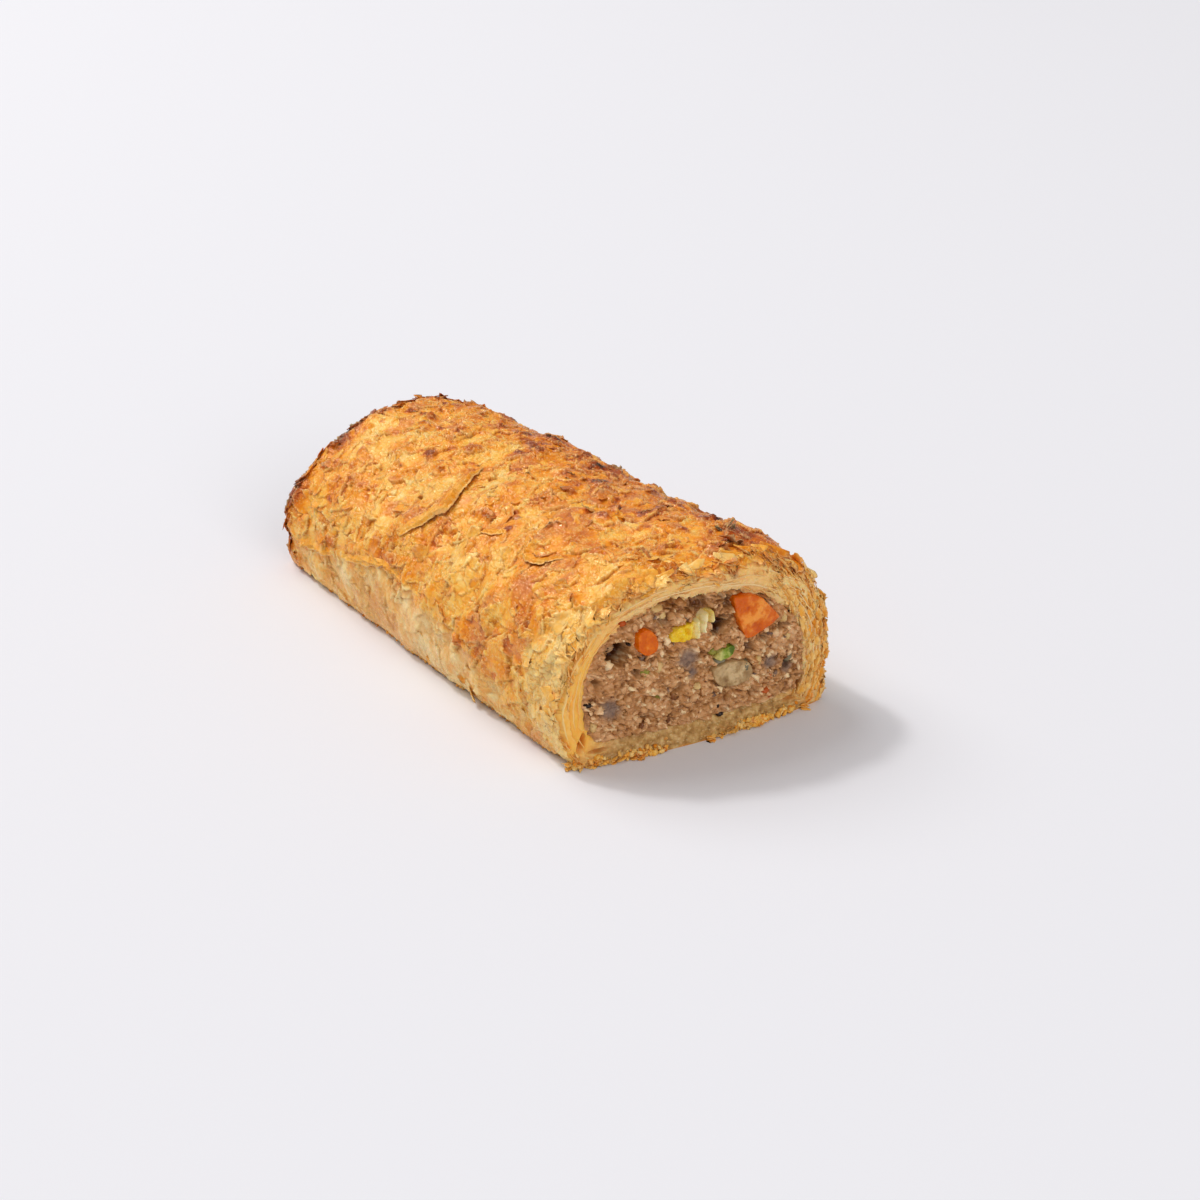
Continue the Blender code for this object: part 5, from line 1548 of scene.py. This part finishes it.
def skinPoint(s, a, height):
    # a point standing so high over the crust's map place (mm along, mm around)
    i = np.clip(s / rollForm["bodyLength"] * crustLook["alongCells"], 2, crustLook["alongCells"] - 2.001)
    j = np.clip(a / rollForm["archLength"] * crustLook["aroundCells"], 3, crustLook["aroundCells"] - 3.001)
    i0, j0 = i.astype(int), j.astype(int)
    fi, fj = (i - i0)[..., None], (j - j0)[..., None]
    low = crustGrid[i0, j0] * (1 - fi) + crustGrid[i0 + 1, j0] * fi
    high = crustGrid[i0, j0 + 1] * (1 - fi) + crustGrid[i0 + 1, j0 + 1] * fi
    wide = 9
    far = (np.clip(i0 + wide, 0, crustLook["alongCells"]), np.clip(i0 - wide, 0, crustLook["alongCells"]))
    side = (np.clip(j0 + wide, 0, crustLook["aroundCells"]), np.clip(j0 - wide, 0, crustLook["aroundCells"]))
    normal = unit(np.cross(crustGrid[far[0], j0] - crustGrid[far[1], j0], crustGrid[i0, side[0]] - crustGrid[i0, side[1]]))
    return low * (1 - fj) + high * fj + normal * np.asarray(height)[..., None]


flapLook = dict(rows=90, columns=14, back=2.4, over=0.75, thick=0.16)


def makeFlaps():
    # the standing edges themselves: thin curled strips that overhang the gaps beside them, which are painted dark as
    # shade
    rows, columns = flapLook["rows"], flapLook["columns"]
    rings, tones = [], []
    for number, edge in enumerate(sheetEdges):
        path = np.array(edge["path"], dtype=float)
        lengths = np.r_[0, np.cumsum(np.linalg.norm(np.diff(path, axis=0), axis=1))]
        share = np.linspace(0, 1, rows)
        s, a = (np.interp(share * lengths[-1], lengths, path[:, axis]) for axis in (0, 1))
        kernel = np.ones(13) / 13
        s, a = (np.convolve(np.pad(line, 6, "edge"), kernel, "valid") for line in (s, a))
        way = unit(np.stack([np.gradient(s), np.gradient(a)], axis=-1))
        left = np.stack([-way[:, 1], way[:, 0]], axis=-1)
        fade = np.sin(pi * share) ** 0.5
        jag = 0.60 * layeredNoise(share * lengths[-1], 0 * share + 7.7 * number, 3.0, 261, 5, 0.75)
        across = np.linspace(0, 1, columns)[None, :]
        reach = (flapLook["back"] * edge["reach"] / 2.0) * fade[:, None] + 0.05
        over = (flapLook["over"] * min(1.3, edge["height"] + 0.2) * fade + jag * fade)[:, None]
        offset = reach * (1 - across) - over * across
        sPlace, aPlace = s[:, None] + left[:, :1] * offset, a[:, None] + left[:, 1:] * offset
        wave = 0.22 * layeredNoise(sPlace, aPlace, 2.4, 262, 3)
        rise = edge["height"] * fade[:, None] * (across ** 1.6) * (1 + wave) - 0.10 + 0.05 * fade[:, None]
        rise = rise - 0.35 * edge["height"] * fade[:, None] * np.clip((across - 0.8) / 0.2, 0, 1) ** 2
        half = flapLook["thick"] / 2 * (1 - 0.3 * across)
        top, bottom = skinPoint(sPlace, aPlace, rise + half), skinPoint(sPlace, aPlace, rise - half)
        rings.append(np.concatenate([top, bottom[:, ::-1]], axis=1))
        i = np.clip(s / rollForm["bodyLength"] * crustLook["alongCells"], 0, crustLook["alongCells"]).astype(int)
        j = np.clip(a / rollForm["archLength"] * crustLook["aroundCells"], 0, crustLook["aroundCells"]).astype(int)
        tone = np.convolve(np.pad(crustMap.brown[i, j], 6, "edge"), kernel, "valid")[:, None]
        tone = tone * 0.6 + 0.10 + 0.12 * wave - 0.06 * across
        tones.append(np.concatenate([tone, tone[:, ::-1] + 0.1], axis=1))
    ring = np.array(rings)
    mesh = bpy.data.meshes.new("standing_edges")
    fillMesh(mesh, ring.reshape(-1, 3), shellFaces(len(ring), rows, columns)[:, ::-1])
    plain = np.zeros(ring.shape[:3])
    # the free edge is paled: partly as a thin edge, partly as a painted highlight
    rim = np.clip((np.linspace(0, 1, columns) - 0.86) / 0.14, 0, 1)
    pale = np.broadcast_to(np.r_[rim, rim[::-1]][None, None], ring.shape[:3])
    values = dict(brown=np.clip(np.array(tones), 0, 1), pale=pale, crevice=plain, pink=plain, dough=plain)
    for key, value in values.items():
        giveAttribute(mesh, key, value)
    return linkPiece("standing_edges", mesh)


# small cut pieces in the face: (across, up, half width, half height, how far proud)
smallBits = dict(
    olive_bits=dict(slot="leek_green", low=(120, 116, 28), high=(190, 180, 92), places=(
        (-13.9, 19.4, 1.1, 1.7, 0.5), (-10.8, 13.4, 0.9, 1.1, 0.3), (-12.6, 17.6, 0.7, 0.6, 0.4), (2.0, 20.6, 1.1, 1.0, 0.5))),
    pale_bits=dict(slot="leek", low=(206, 166, 104), high=(244, 218, 160), places=(
        (-11.2, 33.2, 1.5, 0.8, 0.3), (-10.0, 31.6, 0.9, 0.9, 0.2), (-10.6, 19.9, 1.5, 1.6, 0.1), (-9.0, 21.6, 0.9, 0.8, 0.2),
        (20.4, 23.4, 0.9, 1.2, 0.4), (13.6, 15.4, 0.7, 1.6, 0.5), (-1.6, 13.2, 1.0, 0.8, 0.4), (-17.2, 8.6, 1.3, 0.8, 0.3),
        (21.8, 18.6, 0.8, 1.0, 0.3), (-25.0, 8.8, 0.9, 1.3, 0.3))),
    grey_bits=dict(slot="onion", low=(104, 96, 74), high=(168, 158, 128), places=(
        (3.8, 17.9, 1.9, 0.7, 0.4), (22.0, 13.8, 1.2, 1.5, 0.2), (10.2, 15.0, 1.0, 1.3, 0.5))),
    orange_bits=dict(slot="carrot", low=(176, 72, 18), high=(232, 132, 60), places=(
        (15.7, 7.4, 1.1, 0.8, 0.5), (16.9, 6.2, 0.8, 0.7, 0.5), (17.0, 10.4, 0.9, 0.7, 0.2), (-19.0, 31.7, 1.0, 0.7, 0.4))),
    dark_bits=dict(slot="filling", low=(30, 18, 14), high=(74, 52, 44), places=(
        (-26.0, 14.2, 1.2, 0.5, 0.3), (4.0, 5.4, 0.9, 0.7, 0.5), (3.4, 7.4, 0.4, 0.6, 0.2), (-17.6, 26.6, 0.4, 0.3, 0.3))),
)


def makeSmallBits(name, plan):
    rng = np.random.default_rng(sum(ord(letter) for letter in name))
    place = np.array(plan["places"])
    scales = np.c_[0.6 + 0.4 * place[:, 2], place[:, 2], place[:, 3]]
    centre = np.c_[cutX(place[:, 0]) + place[:, 4] - scales[:, 0], place[:, 0], place[:, 1]]
    plain = np.zeros(len(place))
    piece = lumpCloud(name, centre, None, rng, dict(grain=rng.uniform(0.2, 0.8, len(place)), heart=plain, blend=plain),
                      0.16, 9, 14, scales)
    look = dict(colours=(plan["low"], tuple((a + b) // 2 for a, b in zip(plan["low"], plan["high"])), plan["high"]),
                edge=plan["low"])
    return piece, vegetableMaterial(name, look)


charredLeaves = ((109.0, 76.2, 0.3, 2.6, 1.0), (109.8, 76.8, 2.2, 2.2, 0.96), (108.6, 76.0, 3.6, 1.6, 0.92))


def makeCharredLeaves():
    # a burnt scrap stuck to the right shoulder
    place = np.array(charredLeaves)
    rng = np.random.default_rng(271)
    i = (place[:, 0] / rollForm["bodyLength"] * crustLook["alongCells"]).astype(int)
    j = (place[:, 1] / rollForm["archLength"] * crustLook["aroundCells"]).astype(int)
    spot, alongWay, aroundWay, normal = skinFrame(i, j)
    plan = dict(long=(1.3, 2.2), wide=(0.5, 0.9), lift=(0.6, 1.0), thick=0.25, rows=12, columns=9)
    return leafCloud("charred_leaves", plan, spot, turned(alongWay, aroundWay, place[:, 2]), normal, rng, place[:, 4])


print("leaves, sheets and crumbs")
finishPiece(makeSkinLeaves("lifted"), leafFinish, "pastry", "pastry")
finishPiece(makeSkinLeaves("small"), leafFinish, "pastry", "pastry")
finishPiece(makeFlaps(), leafFinish, "pastry", "pastry")
finishPiece(makeCharredLeaves(), leafFinish, "pastry", "pastry")
finishPiece(makeRimLeaves(), leafFinish, "pastry", "pastry")
finishPiece(makeFarLeaves(), leafFinish, "pastry", "pastry")
finishPiece(makeWallLeaves(), leafFinish, "pastry", "pastry")
finishPiece(makeFootLeaves(), leafFinish, "pastry", "pastry")
finishPiece(makeRibbons(), thinLayersFinish, "pastry", "pastry")
finishPiece(makeMinceGrains(), minceFinish, "filling", "filling")
for name, plan in smallBits.items():
    bits, finish = makeSmallBits(name, plan)
    finishPiece(bits, finish, plan["slot"], "filling")
finishPiece(makeFloorCrumbs(), leafFinish, "pastry", "pastry")
finishPiece(makeSideCrumbs(), leafFinish, "pastry", "pastry")


def makeStage():
    half = 4.0
    mesh = bpy.data.meshes.new("floor")
    mesh.from_pydata([(-half, -half, 0), (half, -half, 0), (half, half, 0), (-half, half, 0)], [], [(0, 1, 2, 3)])
    floor = linkPiece("floor", mesh)
    material, nodes, links, shader = shaderMaterial("paleFloor")
    shader.inputs["Base Color"].default_value = srgb(232, 234, 244)
    shader.inputs["Roughness"].default_value = 0.9
    shader.inputs["Specular IOR Level"].default_value = 0.1
    mesh.materials.append(material)


cameraPlan = dict(target=(15.15, 7.5, 11.4), azimuth=54.5, elevation=25.76, distance=626.0, lens=84.0)
# each lamp stands at metres (right, away, up) as seen from the camera's side
lightPlan = dict(
    key=dict(place=(-2.0, 1.5, 3.0), size=3.0, power=71.0, colour=(1.0, 0.965, 0.91)),
    glint=dict(place=(-1.1, 0.7, 1.8), size=0.25, power=13.0, colour=(1.0, 0.965, 0.91)),
    fill=dict(place=(1.0, -1.9, 1.25), size=1.4, power=18.0, colour=(1.0, 0.975, 0.93)),
)
skyColour = (1.0, 0.97, 0.92, 1.0)
skyStrength = 0.40


def makeLights():
    world = bpy.data.worlds.new("softSky")
    world.use_nodes = True
    background = world.node_tree.nodes["Background"]
    background.inputs["Color"].default_value = skyColour
    background.inputs["Strength"].default_value = skyStrength
    bpy.context.scene.world = world
    for name, plan in lightPlan.items():
        data = bpy.data.lights.new(name, "AREA")
        data.shape = "DISK"
        data.size = plan["size"]
        data.energy = plan["power"]
        data.color = plan["colour"]
        lamp = bpy.data.objects.new(name, data)
        azimuth = radians(cameraPlan["azimuth"])
        right, away, up = plan["place"]
        lamp.location = (right * cos(azimuth) - away * sin(azimuth), right * sin(azimuth) + away * cos(azimuth), up)
        lamp.rotation_euler = (-lamp.location).to_track_quat("-Z", "Y").to_euler()
        bpy.context.scene.collection.objects.link(lamp)



def makeCamera():
    data = bpy.data.cameras.new("camera")
    data.lens = cameraPlan["lens"]
    data.sensor_width = 36.0
    data.clip_start = 0.01
    camera = bpy.data.objects.new("camera", data)
    azimuth, elevation = radians(cameraPlan["azimuth"]), radians(cameraPlan["elevation"])
    back = Vector((sin(azimuth) * cos(elevation), -cos(azimuth) * cos(elevation), sin(elevation)))
    target = Vector(cameraPlan["target"]) * mm
    camera.location = target + back * cameraPlan["distance"] * mm
    camera.rotation_euler = (-back).to_track_quat("-Z", "Y").to_euler()
    bpy.context.scene.collection.objects.link(camera)
    bpy.context.scene.camera = camera


makeStage()
makeLights()
makeCamera()
bpy.context.scene.view_settings.view_transform = "Standard"
